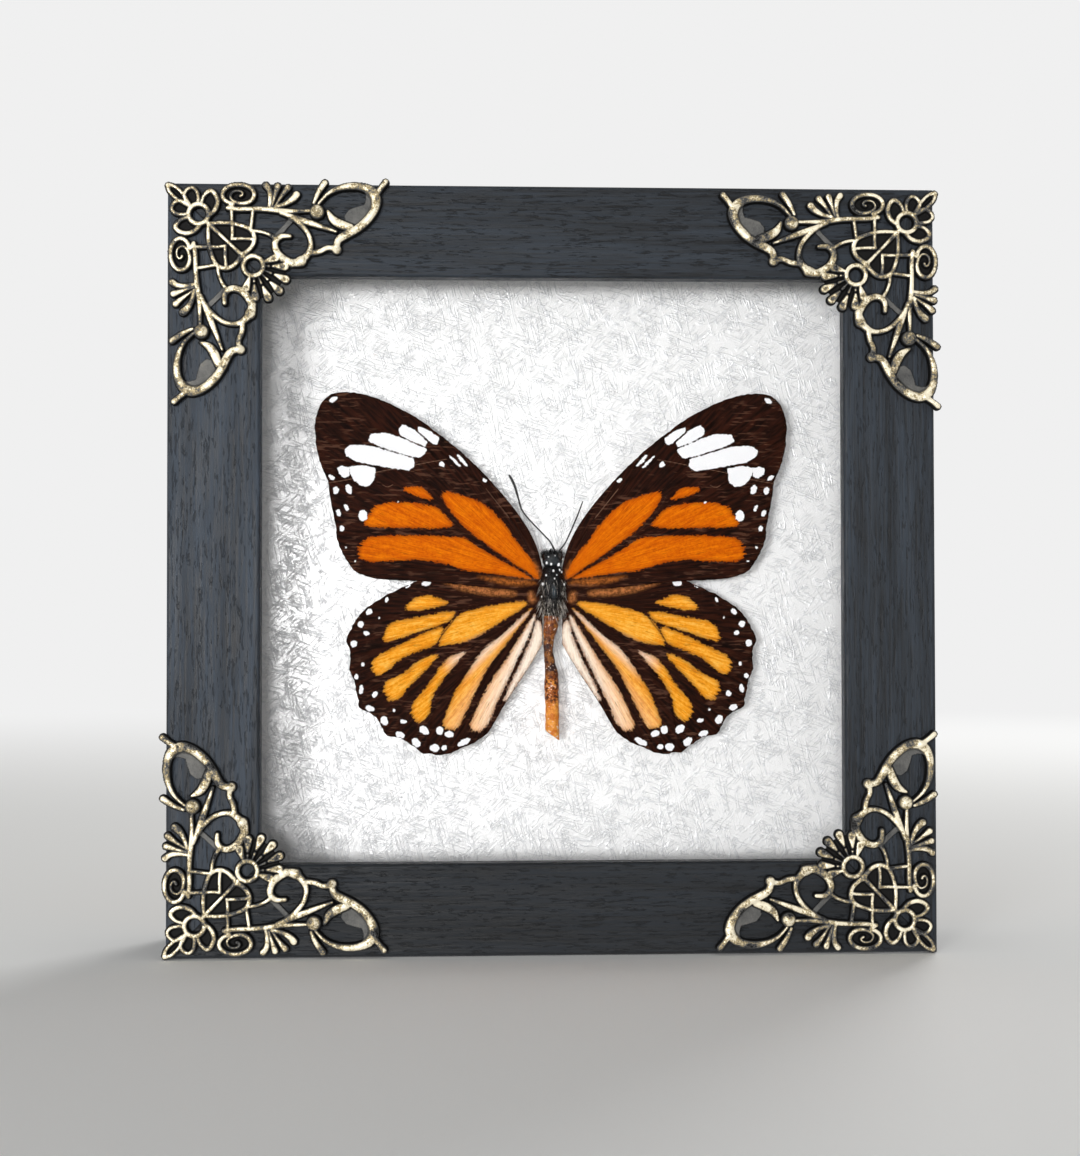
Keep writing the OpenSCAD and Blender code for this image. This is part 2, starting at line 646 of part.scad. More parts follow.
rail_bottom();
rail_right();
rail_top();
rail_left();
corner_v_nails();
glass_pane();
spacer_bottom();
spacer_right();
spacer_top();
spacer_left();
backing_paper();
mount_board();
back_board();
ornament_top_left();
ornament_top_right();
ornament_bottom_left();
ornament_bottom_right();
turn_button_left_upper();
turn_button_left_lower();
turn_button_right_upper();
turn_button_right_lower();
turn_button_screws();
hanger_plate();
hanger_ring();
hanger_screws();
specimen_pad();
forewing_left();
forewing_right();
hindwing_left();
hindwing_right();
thorax();
abdomen();
head();
antenna_left();
antenna_right();
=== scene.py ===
"""Looks of a butterfly display case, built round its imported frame. Metres, +Z up, glass at -Y."""
import json
import math

import bmesh
import bpy
import numpy as np
from mathutils import Matrix, Vector

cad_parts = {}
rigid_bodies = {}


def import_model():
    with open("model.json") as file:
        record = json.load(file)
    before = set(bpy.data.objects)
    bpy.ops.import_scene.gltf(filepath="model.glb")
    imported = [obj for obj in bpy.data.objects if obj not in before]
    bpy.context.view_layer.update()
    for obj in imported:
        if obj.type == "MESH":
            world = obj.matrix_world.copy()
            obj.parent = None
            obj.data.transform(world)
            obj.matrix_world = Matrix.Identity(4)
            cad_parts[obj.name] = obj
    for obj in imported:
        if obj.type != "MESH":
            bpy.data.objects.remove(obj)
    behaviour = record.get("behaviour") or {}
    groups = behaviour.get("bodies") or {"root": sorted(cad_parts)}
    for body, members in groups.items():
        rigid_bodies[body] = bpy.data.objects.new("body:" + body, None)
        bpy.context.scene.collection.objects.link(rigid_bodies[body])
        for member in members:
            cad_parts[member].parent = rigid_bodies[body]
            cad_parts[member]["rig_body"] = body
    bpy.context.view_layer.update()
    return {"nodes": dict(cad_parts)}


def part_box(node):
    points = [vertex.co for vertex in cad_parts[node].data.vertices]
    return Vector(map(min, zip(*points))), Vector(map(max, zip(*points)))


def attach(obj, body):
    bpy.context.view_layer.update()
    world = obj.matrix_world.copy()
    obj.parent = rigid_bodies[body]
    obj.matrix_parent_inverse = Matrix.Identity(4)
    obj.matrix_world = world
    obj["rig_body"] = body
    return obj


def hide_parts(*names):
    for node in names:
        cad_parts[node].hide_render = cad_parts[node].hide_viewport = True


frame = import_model()

MM = 0.001
SEED = 7

# Places of the case, in millimetres, read from the frame


def node_box(node):
    low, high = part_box(node)
    return np.array(low) / MM, np.array(high) / MM


def body_of_node(node):
    return frame["nodes"][node]["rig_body"]


RAIL_LOW, RAIL_HIGH = node_box("rail_bottom")
CASE_W = RAIL_HIGH[0] - RAIL_LOW[0]
CASE_H = node_box("rail_top")[1][2]
MID_Z = CASE_H / 2
FRONT_Y = RAIL_LOW[1]
PAPER_LOW, PAPER_HIGH = node_box("backing_paper")
WING_LOW, WING_HIGH = node_box("forewing_left")
FORE_Y = (WING_LOW[1] + WING_HIGH[1]) / 2
HIND_Y = np.mean(node_box("hindwing_left"), 0)[1]
BODY_X = (WING_LOW[0] + node_box("forewing_right")[1][0]) / 2
WING_T = WING_HIGH[1] - WING_LOW[1]

# Distances that stand for well outside a shape, and for farther than any point
OUTSIDE, FAR_OFF = -9.0, 1e9

# Small tools for curves and fields


def rgb(r, g, b):
    """A colour given as 0 to 255 on screen, as the shader's own linear values."""
    def linear(c):
        c = c / 255
        return c / 12.92 if c <= 0.04045 else ((c + 0.055) / 1.055) ** 2.4
    return (linear(r), linear(g), linear(b), 1.0)


def spline(points, steps, closed=False):
    """A smooth curve through the points, each a row of numbers."""
    p = np.array(points, float)
    n = len(p)
    out = []
    for i in range(n if closed else n - 1):
        at = [(i + k) % n if closed else min(max(i + k, 0), n - 1) for k in (-1, 0, 1, 2)]
        a, b, c, d = p[at]
        for t in np.arange(steps) / steps:
            out.append(0.5 * (2 * b + (c - a) * t + (2 * a - 5 * b + 4 * c - d) * t * t
                              + (3 * b - a - 3 * c + d) * t ** 3))
    if not closed:
        out.append(p[-1])
    return np.array(out)


def rounded(p, cut):
    """A closed outline with its corners cut twice, a little way in from each."""
    for way in (cut, cut / 2):
        after = np.roll(p, -1, 0)
        share = np.minimum(0.25, way / np.hypot(*(after - p).T))[:, None]
        pair = ((1 - share) * p + share * after, share * p + (1 - share) * after)
        p = np.stack(pair, 1).reshape(-1, 2)
    return p


def smoothstep(low, high, x):
    t = np.clip((x - low) / (high - low), 0, 1)
    return t * t * (3 - 2 * t)


def from_segment(u, v, start, end):
    """How far along a segment lies the point nearest to each place, and the way from there."""
    eu, ev = end[0] - start[0], end[1] - start[1]
    t = np.clip(((u - start[0]) * eu + (v - start[1]) * ev) / (eu * eu + ev * ev + 1e-12), 0, 1)
    return t, u - start[0] - t * eu, v - start[1] - t * ev


class Field:
    """A flat grid of points, in millimetres, on which shapes are drawn as distances."""

    def __init__(self, low, high, step):
        self.step = step
        self.u = np.arange(low[0], high[0] + step, step)
        self.v = np.arange(low[1], high[1] + step, step)
        self.uu, self.vv = np.meshgrid(self.u, self.v, indexing="ij")

    def new(self, value=0.0):
        return np.full(self.uu.shape, float(value))

    def window(self, points, margin):
        """The part of the grid within a margin of the points."""
        lo = points[:, :2].min(0) - margin
        hi = points[:, :2].max(0) + margin
        i = slice(*np.searchsorted(self.u, [lo[0], hi[0]]))
        j = slice(*np.searchsorted(self.v, [lo[1], hi[1]]))
        return i, j

    def outline(self, points, reach=1.0):
        """A window and the distance inside a closed outline there, negative outside it."""
        w = self.window(points, reach)
        u, v = self.uu[w], self.vv[w]
        nearest = np.full(u.shape, FAR_OFF)
        inside = np.zeros(u.shape, bool)
        for start, end in zip(points, np.roll(points, -1, 0)):
            _, du, dv = from_segment(u, v, start, end)
            nearest = np.minimum(nearest, du ** 2 + dv ** 2)
            (ax, ay), (bx, by) = start, end
            if ay != by:
                inside ^= ((ay > v) != (by > v)) & (u < (bx - ax) * (v - ay) / (by - ay) + ax)
        return w, np.where(inside, 1, -1) * np.sqrt(nearest)

    def stroke(self, points):
        """A window, the distance inside a stroke [u, v, width], and its share off the middle."""
        w = self.window(points, points[:, 2].max() / 2 + 3 * self.step)
        u, v = self.uu[w], self.vv[w]
        depth = np.full(u.shape, OUTSIDE)
        off = np.full(u.shape, -OUTSIDE)
        for start, end in zip(points[:-1], points[1:]):
            t, du, dv = from_segment(u, v, start, end)
            radius = (start[2] + (end[2] - start[2]) * t) / 2
            d = np.hypot(du, dv)
            depth = np.maximum(depth, radius - d)
            off = np.minimum(off, d / radius)
        return w, depth, off

    def rough(self, size, seed):
        """Smooth random relief with bumps of about one size, from -1 to 1."""
        noise = np.random.default_rng(seed).normal(size=self.uu.shape)
        made = self.blur(noise, size / 2.5)
        return made / np.abs(made).max()

    def blur(self, values, radius):
        pad = int(3 * radius / self.step) + 1
        wide = np.pad(values, pad, mode="edge")
        fu = np.fft.fftfreq(wide.shape[0], self.step)[:, None]
        fv = np.fft.rfftfreq(wide.shape[1], self.step)[None, :]
        keep = np.exp(-2 * (math.pi * radius) ** 2 * (fu ** 2 + fv ** 2))
        out = np.fft.irfft2(np.fft.rfft2(wide) * keep, s=wide.shape)
        return out[pad:-pad, pad:-pad]


def solid_from_field(name, field, inside, top, bottom, place, flip, values):
    """A closed mesh over the part of a field where inside > 0, between two heights.

    place turns arrays u, v and height into points, in millimetres. values are kept as
    attributes of the points.
    """
    centre = (inside[:-1, :-1] + inside[1:, :-1] + inside[:-1, 1:] + inside[1:, 1:]) / 4
    cells = np.zeros((inside.shape[0] + 1, inside.shape[1] + 1), bool)
    cells[1:-1, 1:-1] = centre > 0
    for _ in range(20):
        a, b, c, d = cells[:-1, :-1], cells[1:, :-1], cells[1:, 1:], cells[:-1, 1:]
        rising = a & c & ~b & ~d
        falling = b & d & ~a & ~c
        if not (rising.any() or falling.any()):
            break
        cells[1:, :-1] |= rising
        cells[:-1, :-1] |= falling
        cells[0] = cells[-1] = False
        cells[:, 0] = cells[:, -1] = False
    count = (cells[:-1, :-1].astype(int) + cells[1:, :-1] + cells[1:, 1:] + cells[:-1, 1:])
    used = count > 0
    edge = used & (count < 4)
    gu, gv = np.gradient(inside, field.step)
    steep = np.maximum(gu ** 2 + gv ** 2, 0.2)
    limit = 0.7 * field.step
    du = np.where(edge, np.clip(-inside * gu / steep, -limit, limit), 0)
    dv = np.where(edge, np.clip(-inside * gv / steep, -limit, limit), 0)
    index = np.full(inside.shape, -1)
    index[used] = np.arange(used.sum())
    n = int(used.sum())
    u = (field.uu + du)[used]
    v = (field.vv + dv)[used]
    points = np.concatenate([place(u, v, top[used]), place(u, v, bottom[used])])
    kept = cells[1:-1, 1:-1]
    i, j = np.nonzero(kept)
    quad = np.stack([index[i, j], index[i + 1, j], index[i + 1, j + 1], index[i, j + 1]], 1)
    walls = []
    sides = (((0, -1), (0, 0), (1, 0)), ((1, 0), (1, 0), (1, 1)),
             ((0, 1), (1, 1), (0, 1)), ((-1, 0), (0, 1), (0, 0)))
    for (si, sj), (ai, aj), (bi, bj) in sides:
        open_side = ~cells[i + 1 + si, j + 1 + sj]
        a = index[i + ai, j + aj][open_side]
        b = index[i + bi, j + bj][open_side]
        walls.append(np.stack([b, a, a + n, b + n], 1))
    faces = np.concatenate([quad, quad[:, ::-1] + n] + walls)
    if flip:
        faces = faces[:, ::-1]
    piece = add_solid(name, points, faces.tolist(), turn_out=False)
    for key, value in values.items():
        keep_at_points(piece.data, key, np.concatenate([value[used], value[used]], 0))
    return piece


def add_object(name, mesh):
    made = bpy.data.objects.new(name, mesh)
    bpy.context.scene.collection.objects.link(made)
    return made


def add_solid(name, points, faces, smooth=True, turn_out=True):
    """A new object from points in millimetres, its faces turned outwards unless they are."""
    mesh = bpy.data.meshes.new(name)
    mesh.from_pydata((np.array(points, float) * MM).tolist(), [], faces)
    if turn_out:
        shape = bmesh.new()
        shape.from_mesh(mesh)
        bmesh.ops.recalc_face_normals(shape, faces=shape.faces)
        shape.to_mesh(mesh)
        shape.free()
    mesh.polygons.foreach_set("use_smooth", np.full(len(mesh.polygons), smooth))
    mesh.update()
    return add_object(name, mesh)


def keep_at_points(mesh, key, values):
    """Keeps one number, or three, with each point of a mesh."""
    kind, part = ("FLOAT", "value") if values.ndim == 1 else ("FLOAT_VECTOR", "vector")
    layer = mesh.attributes.new(key, kind, "POINT")
    layer.data.foreach_set(part, values.astype(np.float32).ravel())


def box_mesh(name, low, high):
    """A closed box between two corners, in millimetres."""
    mesh = bpy.data.meshes.new(name)
    shape = bmesh.new()
    bmesh.ops.create_cube(shape, size=1)
    low, high = np.array(low) * MM, np.array(high) * MM
    for vertex in shape.verts:
        vertex.co = [(a + b) / 2 + c * (b - a) for a, b, c in zip(low, high, vertex.co)]
    shape.to_mesh(mesh)
    shape.free()
    return mesh


def painted(piece, material):
    piece.data.materials.clear()
    piece.data.materials.append(material)
    return piece


def settle(piece, node, replaced=True):
    """Lets a finished piece ride on a node's body, in the node's place unless it is an extra."""
    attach(piece, body_of_node(node))
    if replaced:
        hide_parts(node)


def plain_mesh_of(piece):
    """What an object's modifiers make of it, as a mesh of its own."""
    graph = bpy.context.evaluated_depsgraph_get()
    return bpy.data.meshes.new_from_object(piece.evaluated_get(graph))


# Materials


class Value:
    """An output of a node, which arithmetic carries on with further nodes."""

    def __init__(self, graph, socket):
        self.graph = graph
        self.socket = socket

    def __add__(self, other):
        return self.graph.math("ADD", self, other)

    def __radd__(self, other):
        return self.graph.math("ADD", other, self)

    def __sub__(self, other):
        return self.graph.math("SUBTRACT", self, other)

    def __mul__(self, other):
        return self.graph.math("MULTIPLY", self, other)

    def __abs__(self):
        return self.graph.math("ABSOLUTE", self)


class Graph:
    """A node tree under construction, with short calls for its nodes."""

    def __init__(self, tree):
        self.tree = tree

    def put(self, socket, value):
        if isinstance(value, Value):
            value = value.socket
        if isinstance(value, bpy.types.NodeSocket):
            self.tree.links.new(value, socket)
        else:
            socket.default_value = value

    def node(self, kind, settings=None, numbered=None, **named):
        """A new node with its settings and its inputs, by their numbers or by their names."""
        made = self.tree.nodes.new(kind)
        for key, value in (settings or {}).items():
            setattr(made, key, value)
        for key, value in (numbered or {}).items():
            self.put(made.inputs[key], value)
        for key, value in named.items():
            self.put(made.inputs[key.replace("_", " ")], value)
        return made

    def value(self, output, kind, *given, **named):
        """One output of a new node."""
        return Value(self, self.node(kind, *given, **named).outputs[output])

    def math(self, operation, a, b=0.0, clamp=False):
        return self.value(0, "ShaderNodeMath", {"operation": operation, "use_clamp": clamp},
                          {0: a, 1: b})

    def shared(self, share, first, second):
        """Two shader nodes mixed, the second by its share."""
        return self.value(0, "ShaderNodeMixShader", None,
                          {0: share, 1: first.outputs[0], 2: second.outputs[0]})


class Shader(Graph):
    """A material under construction."""

    def __init__(self, name):
        self.material = bpy.data.materials.new(name)
        self.material.use_nodes = True
        super().__init__(self.material.node_tree)
        self.tree.nodes.clear()
        self.surface = self.node("ShaderNodeBsdfPrincipled")
        self.output = self.node("ShaderNodeOutputMaterial", Surface=self.surface.outputs[0])

    def finish(self, height=None, depth=0.0, strength=1.0, **inputs):
        """Sets the surface, bumped by a height as deep as depth millimetres."""
        for key, value in inputs.items():
            self.put(self.surface.inputs[key.replace("_", " ")], value)
        if height is not None:
            bump = self.node("ShaderNodeBump", Height=height, Distance=depth * MM,
                             Strength=strength)
            self.put(self.surface.inputs["Normal"], bump.outputs[0])
        return self.material

    def cover(self, share, other):
        """Lets another shader node take a share of the surface."""
        self.put(self.output.inputs["Surface"], self.shared(share, self.surface, other))

    def spot(self):
        return self.node("ShaderNodeTexCoord").outputs["Object"]

    def place(self, scale=(1, 1, 1), turn=(0, 0, 0)):
        """Object coordinates in millimetres, turned and then scaled on each axis."""
        return self.value(0, "ShaderNodeMapping", {"vector_type": "TEXTURE"},
                          Vector=self.spot(), Scale=[MM / s for s in scale], Rotation=turn)

    def noise(self, place, size, detail=4.0, rough=0.55, warp=0.0):
        """Noise with spots of about one size, in millimetres, from 0 to 1."""
        return self.value("Fac", "ShaderNodeTexNoise", Vector=place, Scale=1 / size,
                          Detail=detail, Roughness=rough, Distortion=warp)

    def attribute(self, name, part="Fac"):
        return self.value(part, "ShaderNodeAttribute", {"attribute_name": name})

    def span(self, value, low, high, to_low=0.0, to_high=1.0, smooth=True):
        """A value spread from one range to another, and kept within it."""
        way = "SMOOTHSTEP" if smooth else "LINEAR"
        return self.value(0, "ShaderNodeMapRange", {"clamp": True, "interpolation_type": way},
                          Value=value, From_Min=low, From_Max=high, To_Min=to_low,
                          To_Max=to_high)

    def mix(self, share, a, b):
        return self.value(2, "ShaderNodeMix", {"data_type": "RGBA"}, {0: share, 6: a, 7: b})

    def ramp(self, value, *stops):
        """Colours along a value: each stop is its place from 0 to 1 and its colour."""
        made = self.node("ShaderNodeValToRGB", Fac=value)
        elements = made.color_ramp.elements
        for _ in range(len(stops) - 2):
            elements.new(0.5)
        for element, (at, colour) in zip(elements, stops):
            element.position = at
            element.color = colour
        return Value(self, made.outputs["Color"])


# How far the dark of a mitre reaches on each side, and how the wood's fibres and its pores
# are drawn out along the rail
MITRE, FIBRE_DRAWN, PORE_DRAWN = 0.17, 0.045, 0.14


def painted_wood(name, upright, painted_light_level):
    """Charcoal stain on open-grained wood, its fibres along the rail, its mitres dark, and painted
    light and shade per rail.
    """
    s = Shader(name)

    def along(share):
        return s.place((1, 1, share) if upright else (share, 1, 1))

    fibre = s.noise(along(FIBRE_DRAWN), 0.42, 8, 0.62, 0.25)
    bands = s.noise(along(FIBRE_DRAWN), 2.4, 3, 0.5, 0.3)
    pore = s.span(s.noise(along(PORE_DRAWN), 0.34, 3, 0.6), 0.57, 0.65)
    # The stain's colours are scaled by the rail's level of painted light and shade.
    body = s.ramp(fibre * 0.6 + bands * 0.4,
                  (0.38, rgb(17 * painted_light_level, 20 * painted_light_level, 24 * painted_light_level)),
                  (0.62, rgb(57 * painted_light_level, 65 * painted_light_level, 75 * painted_light_level)))
    body = s.mix(pore * (0.6 if upright else 0.85), body, rgb(10, 11, 13))
    parts = s.node("ShaderNodeSeparateXYZ", Vector=s.spot())
    x, z = Value(s, parts.outputs["X"]), Value(s, parts.outputs["Z"])
    from_mitre = abs(abs(x) - abs(z - MID_Z * MM))
    mitre = s.span(from_mitre, MITRE * 0.4 * MM, MITRE * MM, 1.0, 0.0)
    body = s.mix(mitre, body, rgb(6, 6, 7))
    return s.finish(fibre - pore * 0.6 - mitre, 0.14, 0.7, Base_Color=body,
                    Specular_IOR_Level=0.25,
                    Roughness=s.span(fibre, 0.38, 0.62, 0.4, 0.64))


def antique_bronze():
    """Cast bronze, dark in the recesses and rubbed to pale gold on the tops."""
    s = Shader("antique_bronze")
    worn = s.attribute("wear")
    grit = s.noise(s.place(), 0.3, 6, 0.65)
    blotch = s.noise(s.place(), 2.6, 4, 0.6)
    uneven = (grit - 0.5) * 0.7 + (blotch - 0.54) * 1.3
    level = worn * 0.85 + uneven * s.span(worn, 0.5, 0.75, 0.15, 2.0)
    colour = s.ramp(level, (0.1, rgb(12, 11, 10)), (0.34, rgb(72, 72, 72)),
                    (0.42, rgb(104, 103, 100)), (0.64, rgb(156, 138, 98)),
                    (0.88, rgb(242, 232, 206)))
    return s.finish(grit, 0.08, 0.8, Base_Color=colour, Specular_IOR_Level=0.15,
                    Metallic=s.span(level, 0.1, 0.5, 0.0, 0.4),
                    Roughness=s.span(level, 0.2, 0.8, 0.62, 0.36))


def pearly_paper():
    """White paper with a pearly sheen and fine embossed fibres, in three directions, also painted
    in as darker lines of shade.
    """
    s = Shader("pearly_paper")
    streaks = 0.0
    for turn, size in ((0.3, 0.7), (1.3, 0.85), (2.4, 0.6)):
        swirl = s.noise(s.place((0.16, 1, 1.2), (0, turn, 0)), size, 1, 0.5, 0.3)
        line = s.span(abs(swirl - 0.5), 0.0, 0.06, 1, 0)
        streaks = streaks + line * s.span(s.noise(s.place(), size * 4, 2), 0.42, 0.56)
    # The fibre lines darken the colour too: painted shade standing in for the shading of the
    # embossed ridges.
    colour = s.ramp(streaks, (0.1, rgb(252, 252, 252)), (1.0, rgb(234, 235, 237)))
    relief = s.noise(s.place(), 0.2, 4, 0.6) * 0.2 + streaks
    return s.finish(relief, 0.06, 0.9, Base_Color=colour, Roughness=0.22, IOR=1.9)


def clear_glass():
    """Glass that lets lamp light and soft light through unbent."""
    s = Shader("clear_glass")
    path = s.node("ShaderNodeLightPath").outputs
    light_ray = s.math("MAXIMUM", path["Is Shadow Ray"], path["Is Diffuse Ray"])
    s.cover(light_ray, s.node("ShaderNodeBsdfTransparent"))
    return s.finish(Base_Color=(1, 1, 1, 1), Transmission_Weight=1.0, Roughness=0.0, IOR=1.45)


def plain_board(name, dark, light, size, rough, depth):
    """A pressed or foamed board with a mottled face."""
    s = Shader(name)
    grain = s.noise(s.place(), size, 7, 0.65)
    level = grain * 0.7 + s.noise(s.place(), size * 14, 3) * 0.3
    return s.finish(grain, depth, 0.7, Roughness=rough,
                    Base_Color=s.ramp(level, (0.35, dark), (0.65, light)))


def fibreboard():
    """Brown pressed board with short dark and pale fibres."""
    s = Shader("brown_fibreboard")
    grain = s.noise(s.place(), 0.3, 8, 0.7)
    dark_fibre = s.noise(s.place((0.25, 1, 1.2), (0, 0.5, 0)), 0.35, 4, 0.6, 0.8)
    pale_fibre = s.noise(s.place((1.2, 1, 0.25), (0, 0.9, 0)), 0.4, 4, 0.6, 0.8)
    colour = s.ramp(grain * 0.5 + s.noise(s.place(), 16, 4) * 0.5,
                    (0.35, rgb(116, 84, 54)), (0.65, rgb(160, 122, 82)))
    colour = s.mix(s.span(dark_fibre, 0.55, 0.64, 0, 0.6), colour, rgb(78, 52, 32))
    colour = s.mix(s.span(pale_fibre, 0.56, 0.65, 0, 0.55), colour, rgb(198, 164, 124))
    return s.finish(grain + dark_fibre, 0.06, 0.6, Base_Color=colour, Roughness=0.82)


def worn_metal(name, dark, light, rough_low, rough_high, scratch):
    """Sheet or turned metal with fine scratches and tarnish."""
    s = Shader(name)
    tarnish = s.noise(s.place(), 2.2, 6, 0.6, 0.6)
    line = s.noise(s.place(scratch, (0.2, 0.5, 0.3)), 0.3, 4, 0.6)
    colour = s.ramp(tarnish, (0.35, dark), (0.62, light))
    return s.finish(line, 0.02, 0.5, Metallic=1.0,
                    Base_Color=s.mix(s.span(line, 0.62, 0.75, 0, 0.4), colour, dark),
                    Roughness=s.span(tarnish, 0.3, 0.7, rough_high, rough_low))


def wing_scales(name, orange_stops, cream, dust, line_and_highlight_colour, haze_colour):
    """Wing scales: orange and white fields with feathered edges on brown-black.

    cream is the colour of the orange fields' pale parts, and on the forewing of a painted
    highlight near its root; dust the share and brown of the scales strewn near their edges,
    line_and_highlight_colour that of the thin lines, folds and veins painted pale as a highlight,
    and haze_colour that of the blurred strips.
    """
    s = Shader(name)
    flow = s.attribute("flow", "Vector")
    row = s.noise(flow, 1.0, 5, 0.65)
    grain = s.noise(s.place(), 0.12, 3, 0.6)
    ragged = s.noise(s.place(), 0.5, 5, 0.7)
    orange = s.attribute("orange")
    dark = s.ramp(s.noise(flow, 1.4, 4), (0.4, rgb(17, 6, 3)), (0.62, rgb(48, 21, 11)))
    scuff = s.span(s.noise(s.place((0.28, 1, 1.9)), 0.7, 2, 0.5), 0.54, 0.64, 0, 0.5)
    scuffed = scuff * s.span(s.noise(s.place(), 6, 2), 0.42, 0.56)
    dark = s.mix(scuffed, dark, rgb(104, 70, 54))
    tone = s.ramp(row * 0.45 + ragged * 0.3 + s.noise(flow, 2.6, 3, 0.6) * 0.25, *orange_stops)
    streaky = s.span(row, 0.3, 0.7, 0.6, 1.3, smooth=False)
    # pale mixes in cream: the hindwing's cream fields, and on the forewing a painted highlight near
    # the root.
    pale = s.math("MULTIPLY", s.attribute("pale"), streaky, clamp=True)
    tone = s.mix(pale, tone, cream)
    tone = s.mix(s.span(s.noise(flow, 0.8, 2, 0.5), 0.6, 0.7, 0, 0.6), tone, dust[1])
    strewn = s.span(orange, 0.0, 0.8, 1.0, 0.0) * s.span(ragged, 0.4, 0.6, 0.3, 1.0)
    tone = s.mix(strewn * dust[0], tone, dust[1])
    comb = (row - 0.5) * (s.attribute("ends") * 2.4 + 0.7)
    reach = orange + ((ragged - 0.5) * 1.4 + comb)
    colour = s.mix(s.span(reach, -0.12, 0.12), dark, tone)
    speckled = s.span(row, 0.38, 0.6, 0.5, 1.0) * s.span(ragged, 0.42, 0.58, 0.35, 1.0)
    colour = s.mix(s.attribute("haze") * speckled, colour, haze_colour)
    # Fold lines, and on the forewing veins painted pale in the dark bands as a painted highlight.
    colour = s.mix(s.span(s.attribute("fold"), -0.07, 0.03, 0, 0.8), colour, line_and_highlight_colour)
    chalk = s.ramp(grain, (0.3, rgb(240, 240, 244)), (0.7, rgb(255, 255, 255)))
    white_reach = s.attribute("white") + (ragged - 0.5) * 0.7
    colour = s.mix(s.span(white_reach, -0.05, 0.05), colour, chalk)
    return s.finish(grain * 0.2 + row, 0.03, 0.5, Base_Color=colour, Roughness=0.6,
                    Specular_IOR_Level=0.03)


def body_chitin():
    """Glossy black chitin with white scale dots and grey down, and a painted bluish reflection
    mixed into the black.
    """
    s = Shader("body_black")
    grain = s.noise(s.place(), 0.16, 5, 0.65)
    black = s.ramp(grain, (0.35, rgb(4, 4, 5)), (0.7, rgb(19, 18, 20)))
    # A bluish patch painted into the black: a painted reflection of the surroundings on the smooth
    # thorax.
    black = s.mix(s.attribute("shine"), black, rgb(96, 114, 124))
    fur = s.ramp(s.noise(s.place((1, 1, 0.3)), 0.4, 4), (0.42, rgb(18, 16, 14)),
                 (0.62, rgb(140, 130, 118)))
    colour = s.mix(s.attribute("down") * s.span(grain, 0.42, 0.58), black, fur)
    return s.finish(grain, 0.12, 0.9, Base_Color=colour, Specular_IOR_Level=0.17,
                    Roughness=s.span(grain, 0.3, 0.7, 0.14, 0.36))


def abdomen_skin():
    """Dry orange-brown skin, dark along its middle, with pale glints."""
    s = Shader("abdomen_brown")
    mottle = s.noise(s.place(), 0.9, 6, 0.62, 0.5)
    speck = s.noise(s.place(), 0.5, 3, 0.6)
    colour = s.ramp(mottle, (0.4, rgb(118, 54, 8)), (0.5, rgb(178, 92, 18)),
                    (0.6, rgb(214, 136, 50)))
    light = s.ramp(mottle, (0.42, rgb(206, 112, 26)), (0.58, rgb(238, 158, 62)))
    colour = s.mix(s.attribute("light"), colour, light)
    colour = s.mix(s.attribute("dark") * s.span(mottle, 0.4, 0.62, 1, 0.6), colour,
                   rgb(46, 24, 22))
    spots = s.attribute("specks") * s.span(speck, 0.48, 0.56)
    colour = s.mix(spots, colour, rgb(76, 34, 12))
    colour = s.mix(s.span(speck, 0.38, 0.34, 0, 0.9), colour, rgb(244, 222, 204))
    return s.finish(mottle + speck, 0.25, 0.9, Base_Color=colour, Roughness=0.36,
                    Specular_IOR_Level=0.25)


def plain_finish(name, low, high, size, rough, sheen=0.0):
    """An even finish with a slight mottle, for small pieces."""
    s = Shader(name)
    grain = s.noise(s.place(), size, 4)
    return s.finish(grain, size * 0.2, 0.4, Roughness=rough, Coat_Weight=sheen,
                    Base_Color=s.ramp(grain, (0.35, low), (0.65, high)))


# Whether each rail stands upright, and its level of painted light and shade: one stain,
# lightened or darkened per rail as the light falls on that side of the case
RAILS = {"rail_bottom": (False, 0.55), "rail_top": (False, 0.78), "rail_left": (True, 1.04),
         "rail_right": (True, 0.84)}
BRONZE = antique_bronze()
PAPER = pearly_paper()
GLASS = clear_glass()
FOAM = plain_board("foam_board", rgb(222, 222, 218), rgb(240, 240, 237), 0.4, 0.85, 0.05)
FIBREBOARD = fibreboard()
SPACER = plain_board("black_spacer", rgb(20, 20, 22), rgb(34, 34, 37), 0.5, 0.8, 0.04)
STEEL = worn_metal("nail_steel", rgb(96, 98, 102), rgb(170, 172, 176), 0.3, 0.5, (1, 1, 0.1))
BRASS = worn_metal("hardware_brass", rgb(150, 118, 62), rgb(212, 178, 108), 0.24, 0.45,
                   (0.1, 1, 1))
SCREW = worn_metal("screw_brass", rgb(158, 130, 78), rgb(226, 198, 132), 0.2, 0.4, (0.2, 1, 1))
FOREWING = wing_scales(
    "forewing_scales",
    [(0.4, rgb(188, 76, 1)), (0.5, rgb(212, 101, 1)), (0.6, rgb(232, 128, 5))],
    rgb(244, 172, 90), (0.7, rgb(146, 52, 4)), rgb(124, 92, 74), rgb(190, 108, 44))
HINDWING = wing_scales(
    "hindwing_scales",
    [(0.42, rgb(222, 132, 18)), (0.5, rgb(243, 162, 38)), (0.59, rgb(250, 190, 86))],
    rgb(255, 243, 226), (0.7, rgb(150, 84, 26)), rgb(66, 30, 14), rgb(206, 128, 70))
WHITE_SCALE = plain_finish("white_scale", rgb(226, 226, 228), rgb(252, 252, 252), 0.15, 0.6)
CHITIN = body_chitin()
ABDOMEN = abdomen_skin()
EYE = plain_finish("eye_black", rgb(10, 9, 9), rgb(26, 22, 20), 0.08, 0.18, 0.4)
FEELER = plain_finish("feeler_black", rgb(5, 4, 4), rgb(15, 13, 12), 0.3, 0.6)

# Corner ornaments, drawn in the first quadrant with the corner at the origin, in millimetres

